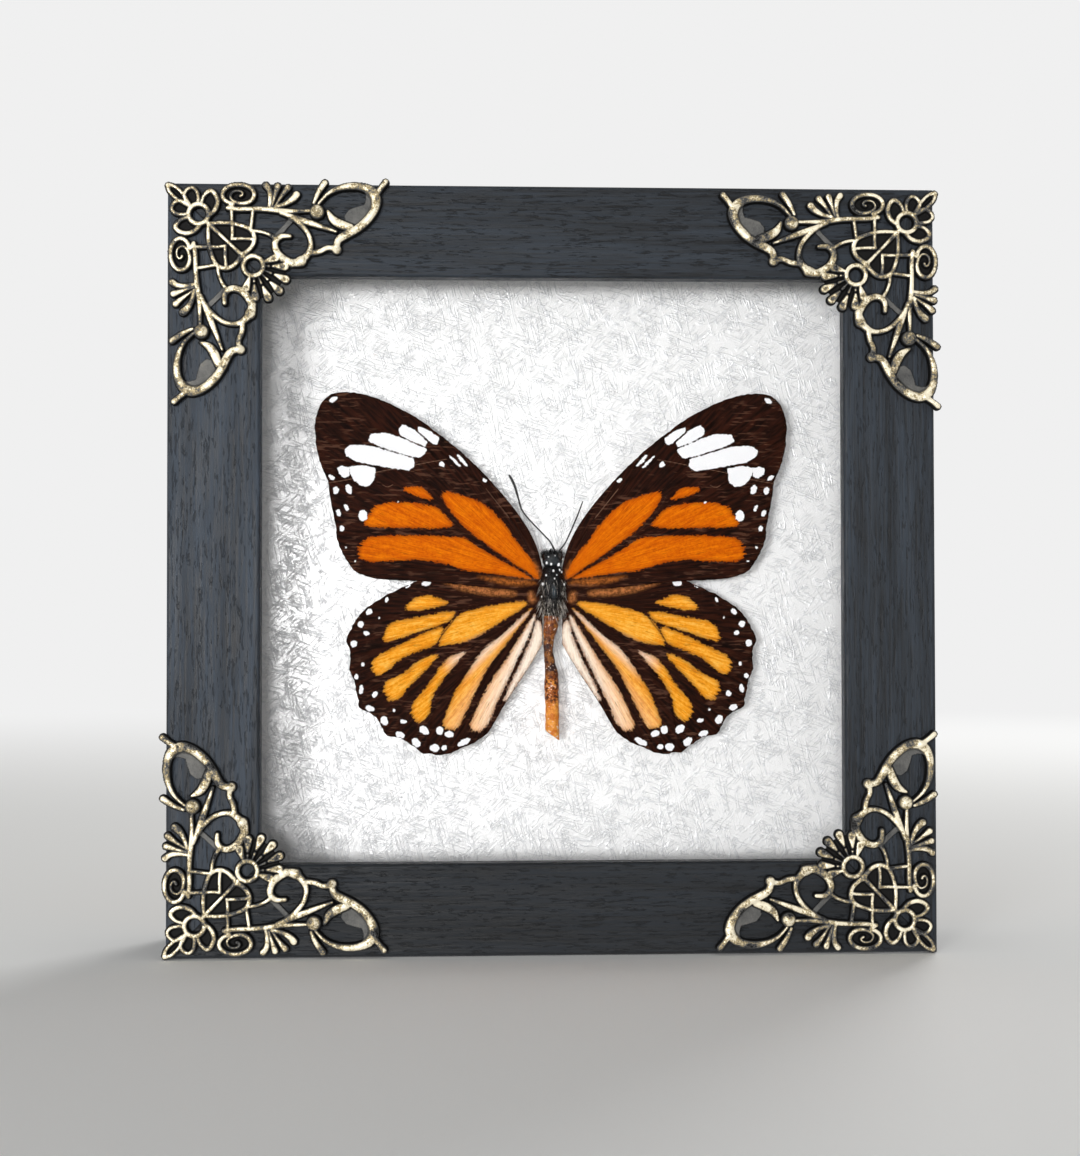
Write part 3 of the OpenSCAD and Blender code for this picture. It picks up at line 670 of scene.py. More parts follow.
CAST_LOW, CAST_HIGH, CAST_STEP = (-0.4, -0.4), (38.2, 38.2), 0.115
# Each kind of stroke: its height and how much wider than drawn it is
LOOP, STEM, LATTICE, PETAL = (1.5, 1.4), (1.2, 1.6), (1.0, 1.95), (1.05, 1.95)
RING, LEAF, LOBE, FAN = (1.3, 1.8), (1.25, 1.3), (1.1, 1.0), (1.05, 1.65)
# Depths inside a stroke between which its dark side turns into its rubbed top
SIDE_LOW, SIDE_HIGH = 0.14, 0.38
UNWORN, WEB_WEAR, BALL_WEAR = 0.03, 0.47, 0.84
FLOOR_T, WEB_T, RIM = 0.38, 0.45, 0.3
BLEND = 7
DIAGONAL_TURN = 45
DIMPLE_R, DIMPLE_DEEP = 0.38, 0.3
# Height and size of the cast surface's two sets of dents
DENTS = ((0.13, 0.9), (0.09, 0.45))
FLOWER, DAISY, RING_R, RING_W = 5.5, 14.4, 1.66, 0.66
# How far the daisy's lobes reach, from the middle one outwards, the angle between them, and
# the inner and outer radius of the plate under them
DAISY_TIPS = (6.8, 6.7, 6.1, 4.8)
DAISY_PITCH, PLATE_IN, PLATE_OUT = 21.5, 1.9, 5.4
CURL_LUMPS = ((22.5, 13.7, 1.0), (20.9, 14.1, 0.75), (19.3, 13.2, 0.7))
BALL, BALL_R, BALL_H = (25.3, 5.5), 1.4, 2.1
BEAD, BEAD_R, LUMP_H = (28.4, 11.9), 0.95, 1.35

# Strokes of one leg, each with its height and its points [along, across, width]
SIDE_PETALS = [
    [[3.9, 3.9, 0.5], [3.2, 2.6, 0.5], [3.5, 1.5, 0.5], [4.5, 1, 0.5], [5.3, 1.7, 0.5],
     [5.5, 2.9, 0.5], [5.4, 3.9, 0.5]],
    [[6, 3.8, 0.5], [6.4, 2.5, 0.5], [7.4, 1.6, 0.6], [8.2, 2, 0.6], [8.7, 3.3, 0.6],
     [8.3, 4.7, 0.6], [7.3, 5.8, 0.5]],
]
CORNER_PETAL = [[4.3, 4.3, 0.5], [3, 2.1, 0.5], [1.7, 0.8, 0.5], [0.7, 0.5, 0.6],
                [0.5, 0.5, 0.6]]
PIE = [[7.1, 7.1, 0.5], [8.9, 7, 0.55], [10.9, 7.1, 0.55], [13, 7.7, 0.55], [14.2, 8.4, 0.6],
       [14.7, 9.7, 0.6], [14.3, 11, 0.6], [13.3, 12, 0.6], [12.4, 12.6, 0.7]]
LEG_STROKES = [
    (STEM, [[10.4, 4.6, 0.7], [12.5, 4.8, 0.75], [14.8, 4.8, 0.75], [17, 4.9, 0.8],
            [19.2, 5.2, 0.8], [21.4, 5.3, 0.7], [24, 5.3, 0.6]]),
    (STEM, [[18.9, 5.3, 0.4], [21.3, 6.3, 0.8], [24, 7.3, 0.9], [28.4, 8.9, 0.5]]),
    (FAN, [[17.3, 4.5, 0.6], [17.5, 3, 0.7], [17.4, 1.7, 0.8], [16.8, 0.8, 0.9]]),
    (FAN, [[17.8, 4.4, 0.4], [18.3, 2.6, 0.6], [18.8, 1, 0.9]]),
    (FAN, [[18.3, 4.4, 0.4], [19.4, 2.7, 0.6], [20.5, 1.3, 0.9]]),
    (FAN, [[18.3, 4.5, 0.6], [20, 4, 0.7], [21.3, 3.2, 0.9], [21.9, 2.5, 1]]),
    (LOOP, [[25.6, 4.2, 0.6], [27, 2.7, 0.7], [28.8, 1.7, 0.9], [30.7, 1.3, 1.1],
            [32.7, 1.4, 1.2], [34.4, 2.1, 1.4], [35.2, 3.4, 1.5], [35.1, 4.7, 1.4],
            [34.5, 6, 1.3], [33.2, 7.5, 1.3], [31.6, 8.7, 1.25], [30, 9.5, 1.3],
            [28.8, 10.3, 1.2], [28.4, 11.4, 1.1]]),
    (LOOP, [[35.3, 2.8, 1], [36.1, 1.7, 0.9], [36.9, 0.7, 1]]),
    (STEM, [[24.8, 4, 0.6], [25.6, 2.2, 0.8], [26.7, 0.6, 0.9]]),
    (LEAF, [[27.1, 5.4, 0.7], [27.8, 6.7, 1.3], [29.1, 7.6, 1.5], [30.8, 8.2, 1.3]]),
    (STEM, [[28.3, 11.8, 0.9], [26.9, 11.6, 0.8], [25.5, 12.2, 0.8], [24, 12.4, 0.8]]),
    (STEM, [[19.2, 5.6, 0.6], [20.9, 6.3, 0.7], [22.4, 7.5, 0.75], [23.6, 9, 0.75],
            [24.1, 10.7, 0.75], [23.8, 12.2, 0.9], [22.6, 13.6, 1.1]]),
    (STEM, [[20.6, 9.5, 0.7], [19.2, 9.5, 0.8], [18.3, 10.2, 0.9], [18.1, 11.2, 0.95],
            [18.6, 12.4, 1], [19.8, 13.4, 1], [21.2, 14, 1.1], [22.4, 13.7, 1.4]]),
    (LATTICE, [[14.4, 8.5, 0.5], [15.7, 8.6, 0.5], [17.3, 9.2, 0.5], [18.5, 10.1, 0.6]]),
    (LATTICE, PIE),
    (LATTICE, [[11, 4.6, 0.5], [11, 7.1, 0.5]]),
    (LATTICE, [[14.6, 4.8, 0.5], [14.1, 8.3, 0.5]]),
    (LATTICE, [[11, 7.1, 0.5], [11.05, 8.5, 0.5], [10.95, 9.8, 0.5]]),
    (LATTICE, [[10.95, 9.8, 0.5], [12.8, 9.75, 0.5], [14.6, 9.9, 0.5]]),
    (PETAL, SIDE_PETALS[0]),
    (PETAL, SIDE_PETALS[1]),
    (PETAL, CORNER_PETAL),
]
# Flat thin webs: the crescent in the loop and the bar by the curl
LEG_WEB = [
    [(33.3, 1.6), (33.5, 3.3), (33.2, 4.3), (32, 4.6), (30.6, 5.1), (29.8, 6.1), (29.9, 7),
     (31.5, 7.7), (33.8, 7.2), (35.2, 5.3), (35.2, 3.4), (34.4, 2)],
    [(17.9, 9.2), (18.5, 9.9), (21.3, 6.9), (20.7, 6.3)],
]
DIAGONAL = [[6.9, 6.9, 0.6], [10, 10, 0.5], [12.8, 12.8, 0.6]]
SCROLL, SCROLL_U, SCROLL_V, SCROLL_W = (12.2, 2.35), 2.65, 1.7, 0.7
SCROLL_START = [10.4, 4.6, 0.7]
# How the scroll winds in: its angle, its share of the oval there and of its width
WINDING = ((110, 420, 480, 540, 630, 720, 780), (1, 1, 0.68, 0.45, 0.37, 0.28, 0.18),
           (1, 1, 0.75, 0.65, 0.65, 0.7, 0.8))


def out_from(middle, far, a):
    """The point that lies far from (middle, middle), at an angle."""
    return [middle + far * math.cos(a), middle + far * math.sin(a)]


def around(middle, radius, first, last, count, *width):
    angles = np.radians(np.linspace(first, last, count))
    return [[*out_from(middle, radius, a), *width] for a in angles]


def scroll_point(a, share=1):
    return [SCROLL[0] + SCROLL_U * share * math.cos(a), SCROLL[1] + SCROLL_V * share * math.sin(a)]


def scroll_stroke():
    """The scroll: an oval turn that winds inwards to a bud."""
    points = [SCROLL_START]
    for angle in range(WINDING[0][0], WINDING[0][-1] + 1, 20):
        share = np.interp(angle, WINDING[0], WINDING[1])
        wide = SCROLL_W * np.interp(angle, WINDING[0], WINDING[2])
        points.append([*scroll_point(math.radians(angle), share), wide])
    return points


def swapped(points):
    return [[p[1], p[0], *p[2:]] for p in points]


class Casting:
    """The ornament's relief: where it has metal, how high it stands and how worn it is."""

    def __init__(self):
        self.field = Field(CAST_LOW, CAST_HIGH, CAST_STEP)
        self.inside = self.field.new(OUTSIDE)
        self.power = self.field.new(0)
        self.wear = self.field.new(UNWORN)

    def raise_to(self, window, depth, height, wear):
        """Adds metal: heights blend where they meet, by a sum of high powers."""
        near = depth > -2.5 * CAST_STEP
        self.inside[window] = np.maximum(self.inside[window], depth)
        self.power[window] += np.where(near, height, 0) ** BLEND
        self.wear[window] = np.maximum(self.wear[window], np.where(near, wear, 0))

    def stroke(self, kind, points):
        tall, wider = kind
        line = spline(points, 4)
        line[:, 2] *= wider
        window, depth, off = self.field.stroke(line)
        dome = np.clip(1 - off ** 2.6, 0, 1) ** 0.55
        wear = smoothstep(SIDE_LOW, SIDE_HIGH, depth)
        self.raise_to(window, depth, RIM + (tall - RIM) * dome, wear)

    def floor(self, tall, points, wear=UNWORN):
        window, depth = self.field.outline(np.array(points, float)[:, :2])
        self.raise_to(window, depth, np.full(depth.shape, tall), np.where(depth > 0, wear, 0))

    def round_spot(self, at, margin):
        """A window round a point and the distances from it."""
        w = self.field.window(np.array([at], float), margin)
        return w, np.hypot(self.field.uu[w] - at[0], self.field.vv[w] - at[1])

    def dome(self, at, radius, top, wear=1.0):
        w, far = self.round_spot(at, radius + 4 * CAST_STEP)
        d = far / radius
        rise = np.sqrt(np.clip(1 - d ** 2, 0, 1))
        self.raise_to(w, radius * (1 - d), RIM + (top - RIM) * rise,
                      wear * smoothstep(1.0, 0.6, d))

    def dimple(self, at, radius, deep):
        w, far = self.round_spot(at, 3 * radius)
        hollow = np.exp(-(far / radius) ** 2)
        self.height[w] -= deep * hollow
        self.wear[w] -= 0.5 * hollow

    def leg(self, turn):
        """One leg of the ornament, its points turned to the leg's own side."""
        for kind, points in LEG_STROKES:
            self.stroke(kind, turn(points))
        self.stroke(STEM, turn(scroll_stroke()))
        for points in LEG_WEB:
            self.floor(WEB_T, turn(points), WEB_WEAR)
        oval = [scroll_point(a) for a in np.linspace(0, 2 * math.pi, 24, endpoint=False)]
        for points in (*SIDE_PETALS, CORNER_PETAL, PIE, oval):
            self.floor(FLOOR_T, turn(points))
        for u, v, r in CURL_LUMPS:
            self.dome(turn([[u, v]])[0], r, LUMP_H)
        self.dome(turn([BALL])[0], BALL_R, BALL_H, BALL_WEAR)
        self.dome(turn([BEAD])[0], BEAD_R, LUMP_H)

    def daisy(self):
        """The fan of lobes between the legs; returns where its dimples go."""
        wide = 3.2 * DAISY_PITCH
        low, high = DIAGONAL_TURN - wide, DIAGONAL_TURN + wide
        self.floor(FLOOR_T, around(DAISY, PLATE_OUT, low, high, 15)
                   + around(DAISY, PLATE_IN, high, low, 9))
        dimples = []
        for s in range(-3, 4):
            tip = DAISY_TIPS[abs(s)]
            a = math.radians(DIAGONAL_TURN + DAISY_PITCH * s)
            lobe = [(tip - 2.8, 0.85), (tip - 1.8, 1.4), (tip - 0.85, 1.8)]
            wedge = [(1.8, 0.5), (2.6, 0.65), (tip - 3.5, 0.85)]
            for ray in (lobe, wedge) if abs(s) < 3 else (lobe,):
                self.stroke(LOBE, [[*out_from(DAISY, d, a), w] for d, w in ray])
            dimples.append(out_from(DAISY, tip - 1.15, a))
        return dimples


def make_casting():
    """Draws the whole ornament once, for the four corners."""
    cast = Casting()
    for turn in (list, swapped):
        cast.leg(turn)
    cast.stroke(LATTICE, DIAGONAL)
    for middle in (FLOWER, DAISY):
        cast.stroke(RING, around(middle, RING_R, 0, 360, 25, RING_W))
    dimples = cast.daisy()
    cast.height = np.maximum(cast.power ** (1 / BLEND), RIM)
    for at in dimples:
        cast.dimple(at, DIMPLE_R, DIMPLE_DEEP)
    f = cast.field
    hammered = sum(deep * f.rough(size, SEED + k) for k, (deep, size) in enumerate(DENTS))
    cast.height += smoothstep(0.45, 0.9, cast.height) * hammered
    cast.wear = f.blur(np.clip(cast.wear, 0.02, 1), 0.05)
    return cast


# Where each ornament sits: right, top, shift along u and v, and turn in degrees
CORNERS = {
    "ornament_top_left": (0, 1, -0.3, 0.1, -1.5),
    "ornament_top_right": (1, 1, -0.6, 0.4, 0.7),
    "ornament_bottom_left": (0, 0, -0.5, 0.1, 0.9),
    "ornament_bottom_right": (1, 0, 0.4, 0.1, 0.7),
}


def make_ornaments():
    cast = make_casting()
    for node, (right, top, shift_u, shift_v, turn) in CORNERS.items():
        a = math.radians(turn)
        sx, sz = (-1 if right else 1), (-1 if top else 1)

        def place(u, v, h):
            x = shift_u + u * math.cos(a) - v * math.sin(a)
            z = shift_v + u * math.sin(a) + v * math.cos(a)
            z = np.maximum((CASE_H if top else 0) + sz * z, 0)
            return np.stack([sx * (x - CASE_W / 2), FRONT_Y - h, z], 1)

        piece = solid_from_field(node + "_cast", cast.field, cast.inside, cast.height,
                                 cast.field.new(), place, sx * sz < 0, {"wear": cast.wear})
        settle(painted(piece, BRONZE), node)


make_ornaments()

# The wings. Their outlines and patches are drawn on two sheets, the left side of the
# butterfly: each sheet has its units to a millimetre and the place of the body's axis and of
# the case's middle on it.

WING_STEP = 0.165
WING_ROOT = 1.75
# How much the corners of white spots and of orange fields are cut, in millimetres
FORE_CUT, HIND_CUT, FIELD_CUT = 0.12, 0.2, 0.6
DARK_RIM, EDGE_ROUGH = 0.14, 0.17
# How fast the rows of scales change with the turn round the root and with the distance
FLOW_TURN, FLOW_FAR = 1.5, 0.3
VEIN_W, FORE_LINE_W, HIND_LINE_W = 0.5, 0.1, 0.16
FORE_SHEET = {"unit": (34.3, 34.2), "axis": (1521, 1152)}
HIND_SHEET = {"unit": (35.6, 35.6), "axis": (1393, 73)}

FORE_OUTLINE = [
    (1475, 1190), (1459, 1120), (1430, 1015), (1384, 915), (1320, 815), (1243, 716),
    (1148, 608), (1050, 508), (946, 412), (843, 332), (741, 256), (640, 194), (540, 145),
    (440, 105), (350, 82), (260, 76), (190, 90), (140, 130), (108, 190), (92, 260), (95, 330),
    (100, 400), (112, 460), (130, 520), (152, 570), (170, 610), (180, 680), (190, 750),
    (205, 820), (222, 900), (226, 960), (250, 1030), (290, 1100), (340, 1155), (420, 1188),
    (520, 1203), (700, 1210), (900, 1226), (1100, 1248), (1250, 1260), (1400, 1258),
    (1460, 1235),
]
FORE_WHITE = [
    [(178, 126), (196, 106), (224, 100), (230, 112), (206, 138), (184, 138)],
    [(708, 284), (726, 284), (780, 306), (838, 348), (826, 390), (800, 386), (756, 348),
     (714, 314)],
    [(594, 296), (618, 268), (690, 302), (770, 376), (756, 402), (682, 376), (602, 332)],
    [(410, 368), (430, 326), (520, 320), (612, 350), (766, 418), (756, 440), (722, 472),
     (640, 454), (480, 402)],
    [(268, 424), (300, 396), (350, 392), (440, 402), (600, 450), (686, 474), (690, 522),
     (656, 548), (520, 528), (340, 494), (278, 456)],
    [(300, 524), (380, 515), (456, 532), (446, 612), (412, 640), (370, 640), (322, 602),
     (302, 562)],
    [(225, 532), (258, 518), (302, 530), (300, 578), (270, 592), (238, 570)],
    [(832, 515), (852, 484), (872, 505), (868, 528)],
    [(892, 452), (908, 456), (976, 522), (972, 532), (944, 514)],
    [(940, 452), (958, 450), (1014, 516), (1002, 522), (966, 490)],
    [(1096, 596), (1108, 590), (1130, 608), (1122, 622), (1106, 614)],
    [(168, 574), (186, 568), (212, 590), (208, 606), (184, 600)],
    [(200, 650), (222, 640), (238, 664), (228, 690), (204, 688)],
    [(274, 642), (288, 628), (312, 644), (316, 680), (300, 690), (280, 676)],
    [(264, 754), (282, 752), (298, 776), (296, 792), (280, 788)],
    [(218, 788), (232, 780), (250, 798), (246, 822), (228, 820)],
    [(354, 820), (362, 790), (384, 782), (406, 800), (404, 840), (384, 852), (362, 846)],
    [(236, 888), (254, 876), (270, 888), (266, 914), (246, 912)],
    [(272, 1004), (286, 1004), (284, 1016), (274, 1016)],
    [(326, 1088), (340, 1086), (338, 1098), (328, 1098)],
    [(582, 732), (592, 728), (600, 738), (590, 744)],
]
FORE_ORANGE = [
    [(850, 690), (880, 668), (960, 690), (1080, 730), (1160, 790), (1240, 880), (1310, 980),
     (1395, 1080), (1448, 1180), (1432, 1206), (1330, 1134), (1180, 1034), (1030, 922),
     (930, 822), (870, 742)],
    [(612, 656), (680, 640), (742, 650), (786, 696), (804, 724), (742, 714), (668, 690)],
    [(378, 872), (420, 810), (460, 756), (540, 736), (700, 740), (822, 764), (880, 820),
     (938, 884), (800, 896), (600, 890), (420, 886)],
    [(352, 1050), (362, 986), (420, 946), (560, 936), (800, 940), (985, 948), (1050, 990),
     (1160, 1060), (1300, 1136), (1410, 1204), (1200, 1172), (1000, 1150), (860, 1104),
     (720, 1080), (560, 1092), (420, 1096), (366, 1080)],
]
FORE_HAZE = [[(1050, 1182), (1200, 1188), (1400, 1208), (1440, 1230), (1300, 1246),
              (1160, 1222)],
             [(1400, 1080), (1420, 1090), (1462, 1190), (1440, 1200)]]
FORE_FOLDS = [[(170, 622), (300, 600), (470, 556), (600, 532), (760, 500), (885, 478)],
              [(1120, 655), (1180, 730), (1260, 830)], [(500, 634), (528, 646), (560, 632)]]
# Veins painted faintly as paler lines in the dark bands: a painted highlight along their raised
# ridges
FORE_VEIN_HIGHLIGHTS = [[(1440, 1195), (1300, 1122), (1130, 1012), (985, 902), (870, 770), (826, 690)],
                   [(1260, 830), (1335, 950), (1400, 1080), (1452, 1180)],
                   [(1440, 1205), (1250, 1190), (1050, 1172)]]
FORE_VEINS = [
    [(1450, 1200), (1300, 1130), (1120, 1020), (960, 900), (850, 762), (805, 670), (700, 560)],
    [(950, 900), (700, 905), (400, 905), (245, 935)],
    [(850, 760), (700, 722), (540, 712), (200, 640)],
    [(1470, 1190), (1410, 1040), (1300, 880), (1150, 700), (900, 480), (560, 260)],
    [(800, 600), (690, 474), (440, 392), (180, 380)],
    [(820, 560), (768, 420), (610, 345), (250, 260)],
    [(1450, 1212), (1200, 1182), (900, 1150), (560, 1120), (300, 1090)],
    [(690, 540), (460, 520), (140, 510)],
]

HIND_OUTLINE = [
    (1350, 186), (1240, 174), (1080, 160), (900, 148), (740, 134), (620, 122), (540, 136),
    (450, 176), (364, 216), (290, 262), (226, 306), (170, 366), (138, 426), (104, 500),
    (124, 560), (130, 620), (124, 690), (152, 750), (165, 820), (178, 880), (186, 926),
    (266, 968), (310, 1015), (346, 1088), (372, 1106), (440, 1116), (500, 1152), (552, 1192),
    (585, 1213), (630, 1212), (676, 1224), (745, 1213), (800, 1188), (870, 1165), (930, 1130),
    (985, 1088), (1030, 1020), (1075, 940), (1130, 852), (1190, 762), (1260, 652),
    (1320, 548), (1350, 480),
]
# Middle, width and height of each white spot on the hindwing's sheet, and its tilt in degrees
HIND_SPOTS = [
    (604, 148, 62, 34, -8), (490, 167, 44, 10, -30), (356, 253, 22, 36, 30),
    (246, 327, 46, 32, -42), (194, 405, 40, 42, -40), (228, 461, 36, 30, 20),
    (152, 526, 44, 44, 0), (310, 365, 14, 14, 0), (208, 656, 20, 28, 0),
    (168, 732, 28, 34, 0), (197, 812, 28, 62, 8), (281, 843, 34, 40, 35),
    (252, 930, 58, 40, 20), (402, 943, 20, 20, 0), (342, 1007, 46, 64, -25),
    (460, 1012, 48, 28, 8), (441, 1095, 62, 38, 20), (590, 1067, 70, 50, 40),
    (688, 1070, 48, 54, 0), (748, 1093, 60, 42, 8), (541, 1145, 66, 48, 45),
    (655, 1178, 60, 50, 0), (713, 1178, 38, 34, 0), (838, 1143, 92, 38, -28),
]
HIND_ORANGE = [
    [(462, 312), (500, 262), (560, 228), (620, 220), (680, 240), (758, 272), (700, 288),
     (640, 302), (540, 322)],
    [(328, 520), (346, 430), (400, 386), (560, 360), (700, 330), (792, 322), (772, 368),
     (700, 410), (560, 450), (430, 496)],
    [(674, 545), (698, 480), (732, 420), (824, 330), (1000, 290), (1150, 265), (1246, 262),
     (1220, 300), (1100, 372), (980, 450), (850, 518)],
    [(258, 640), (300, 598), (420, 542), (560, 470), (718, 412), (690, 500), (650, 540),
     (560, 572), (440, 622), (330, 722), (272, 722)],
    [(334, 800), (350, 760), (450, 718), (560, 630), (650, 590), (684, 598), (600, 690),
     (500, 790), (440, 872), (380, 884), (344, 850)],
    [(504, 940), (530, 880), (620, 780), (680, 682), (740, 612), (864, 568), (800, 640),
     (700, 760), (640, 860), (630, 952), (600, 1000), (550, 1020), (514, 980)],
    [(700, 1040), (740, 930), (780, 830), (870, 690), (960, 560), (1080, 470), (1240, 320),
     (1272, 298), (1232, 362), (1100, 532), (980, 690), (900, 850), (850, 960), (796, 1060),
     (740, 1066)],
    [(866, 1056), (918, 930), (986, 796), (1096, 636), (1198, 472), (1262, 362), (1292, 336),
     (1275, 410), (1239, 500), (1168, 641), (1095, 795), (1041, 907), (987, 1037), (925, 1091)],
    [(1084, 892), (1120, 794), (1195, 648), (1263, 491), (1290, 376), (1322, 392), (1340, 470),
     (1322, 552), (1250, 672), (1180, 768), (1118, 872)],
]
HIND_HAZE = [[(690, 140), (900, 158), (1172, 196), (1170, 234), (1000, 228), (850, 204)],
             [(1236, 206), (1262, 194), (1286, 214), (1292, 262), (1268, 278), (1244, 262)]]
HIND_VEINS = [
    [(1300, 262), (1100, 262), (800, 300), (430, 350), (200, 360)],
    [(800, 318), (700, 420), (430, 520), (150, 590)],
    [(1300, 285), (1050, 440), (880, 530), (680, 550), (480, 650), (160, 780)],
    [(690, 585), (560, 740), (440, 900), (330, 1050)],
    [(890, 560), (720, 760), (650, 930), (600, 1180)],
    [(1300, 300), (1080, 560), (930, 800), (820, 1040), (770, 1190)],
    [(1310, 330), (1190, 600), (1060, 840), (960, 1090)],
]
HIND_FOLDS = [[(806, 330), (760, 400), (700, 475), (664, 540)]]
FORE_ROOT, HIND_ROOT = (1480, 1200), (1310, 290)
SCENT_PATCH = [(742, 712), (800, 668), (866, 660), (880, 692), (830, 758), (776, 800),
               (742, 776)]


def on_sheet(sheet, points):
    """Drawn points as distances out from the body's axis and up from the case's middle."""
    return (np.array(sheet["axis"]) - np.array(points, float)) / sheet["unit"]


def spot(at_x, at_y, wide, high, tilt):
    a = np.linspace(0, 2 * math.pi, 10, endpoint=False)
    t = math.radians(tilt)
    x, y = wide / 2 * np.cos(a), high / 2 * np.sin(a)
    return np.stack([at_x + x * math.cos(t) - y * math.sin(t),
                     at_y + x * math.sin(t) + y * math.cos(t)], 1)


class Wing:
    """One kind of wing: its outline, patches, veins and relief on a field."""

    def __init__(self, sheet, outline, seed):
        self.sheet = sheet
        edge = spline(on_sheet(sheet, outline), 4, closed=True)
        self.field = f = Field(edge.min(0) - 0.6, edge.max(0) + 0.6, WING_STEP)
        self.inside = f.new(OUTSIDE)
        window, depth = f.outline(edge, 99)
        self.inside[window] = depth
        self.inside += EDGE_ROUGH * f.rough(0.5, seed) * smoothstep(8, 14, f.uu)
        self.inside = np.minimum(self.inside, f.uu - WING_ROOT)
        self.values = {key: f.new(-1) for key in ("white", "orange", "fold")}
        self.values["pale"] = f.new(0)
        self.values["haze"] = f.new(0)

    def patches(self, key, shapes, cut):
        for shape in shapes:
            w, depth = self.field.outline(rounded(on_sheet(self.sheet, shape), cut))
            self.values[key][w] = np.maximum(self.values[key][w], depth)

    def markings(self, white, white_cut, orange, haze):
        """White spots that stop short of a dark rim, orange fields and blurred strips."""
        self.patches("white", white, white_cut)
        self.values["white"] = np.minimum(self.values["white"], self.inside - DARK_RIM)
        self.patches("orange", orange, FIELD_CUT)
        for shape in haze:
            w, depth = self.field.outline(rounded(on_sheet(self.sheet, shape), FIELD_CUT))
            self.values["haze"][w] += smoothstep(-0.4, 0.7, depth)

    def lines(self, shapes, width):
        """Distances inside thin lines, as the field's own array."""
        made = self.field.new(-1)
        for shape in shapes:
            line = spline(on_sheet(self.sheet, shape), 5)
            line = np.concatenate([line, np.full((len(line), 1), width)], 1)
            w, depth, _ = self.field.stroke(line)
            made[w] = np.maximum(made[w], depth)
        return made

    def flow_from(self, root):
        """Turns round a root and distance from it, for rows of scales."""
        r = on_sheet(self.sheet, [root])[0]
        du, dv = self.field.uu - r[0], self.field.vv - r[1]
        self.far = np.hypot(du, dv)
        self.turn = np.degrees(np.arctan2(-dv, du))
        self.values["flow"] = np.stack([self.turn * FLOW_TURN, self.far * FLOW_FAR, 0 * du], -1)
        gu, gv = np.gradient(self.field.blur(self.values["orange"], 0.25), self.field.step)
        steep = np.hypot(gu, gv) + 0.3
        along = np.abs(gu * du + gv * dv) / (self.far + 0.01) / steep
        self.values["ends"] = self.field.blur(smoothstep(0.35, 0.8, along), 0.3)

    def build(self, node, side, depth_y, material):
        half = WING_T / 2

        def place(u, v, h):
            return np.stack([BODY_X + side * u, depth_y - h, MID_Z + v], 1)

        piece = solid_from_field(node + "_scaled", self.field, self.inside, half + self.relief,
                                 self.relief - half, place, side < 0, self.values)
        settle(painted(piece, material), node)


def make_wings():
    fore = Wing(FORE_SHEET, FORE_OUTLINE, SEED + 2)
    fore.markings(FORE_WHITE, FORE_CUT, FORE_ORANGE, FORE_HAZE)
    fore.flow_from(FORE_ROOT)
    # Veins painted pale as highlights, joined with the fold lines.
    faint = fore.lines(FORE_VEIN_HIGHLIGHTS, FORE_LINE_W) - 0.06
    fore.values["fold"] = np.maximum(fore.lines(FORE_FOLDS, FORE_LINE_W), faint)
    # Paler towards the root: a painted highlight where the base of the forewing catches the light.
    fore.values["pale"] = 0.7 * smoothstep(12, 3, fore.far) * smoothstep(-8, 6, fore.turn)
    veins = fore.lines(FORE_VEINS, VEIN_W)
    camber = 0.35 * smoothstep(0, 14, fore.field.uu) - 0.4 * smoothstep(20, 42, fore.field.uu)
    fore.relief = (0.09 * smoothstep(-0.15, 0.2, veins) + 0.35 * camber
                   + 0.08 * fore.field.rough(3.0, SEED + 3))
    hind = Wing(HIND_SHEET, HIND_OUTLINE, SEED + 4)
    hind.markings([spot(*s) for s in HIND_SPOTS], HIND_CUT, HIND_ORANGE, HIND_HAZE)
    hind.flow_from(HIND_ROOT)
    inner = smoothstep(44, 72, hind.turn) * (1.25 - hind.far / 36)
    innermost = 0.55 * smoothstep(62, 80, hind.turn)
    middle = smoothstep(24, 31, hind.turn) * smoothstep(48, 38, hind.turn)
    middle = 0.75 * middle * smoothstep(21, 15.5, hind.far)
    hind.values["pale"] = np.clip(inner + innermost + middle, 0, 1)
    hind.values["fold"] = hind.lines(HIND_FOLDS, HIND_LINE_W)
    veins = hind.lines(HIND_VEINS, VEIN_W)
    patch = hind.field.new(-1)
    w, depth = hind.field.outline(spline(on_sheet(HIND_SHEET, SCENT_PATCH), 3, closed=True))
    patch[w] = depth
    hind.relief = (0.08 * smoothstep(-0.15, 0.2, veins) + 0.16 * smoothstep(-0.2, 0.7, patch)
                   + 0.1 * hind.field.rough(3.5, SEED + 5))
    for name, side in (("left", -1), ("right", 1)):
        fore.build("forewing_" + name, side, FORE_Y, FOREWING)
        hind.build("hindwing_" + name, side, HIND_Y, HINDWING)


make_wings()

# The textured paper: a slab with curved embossed fibres on its front


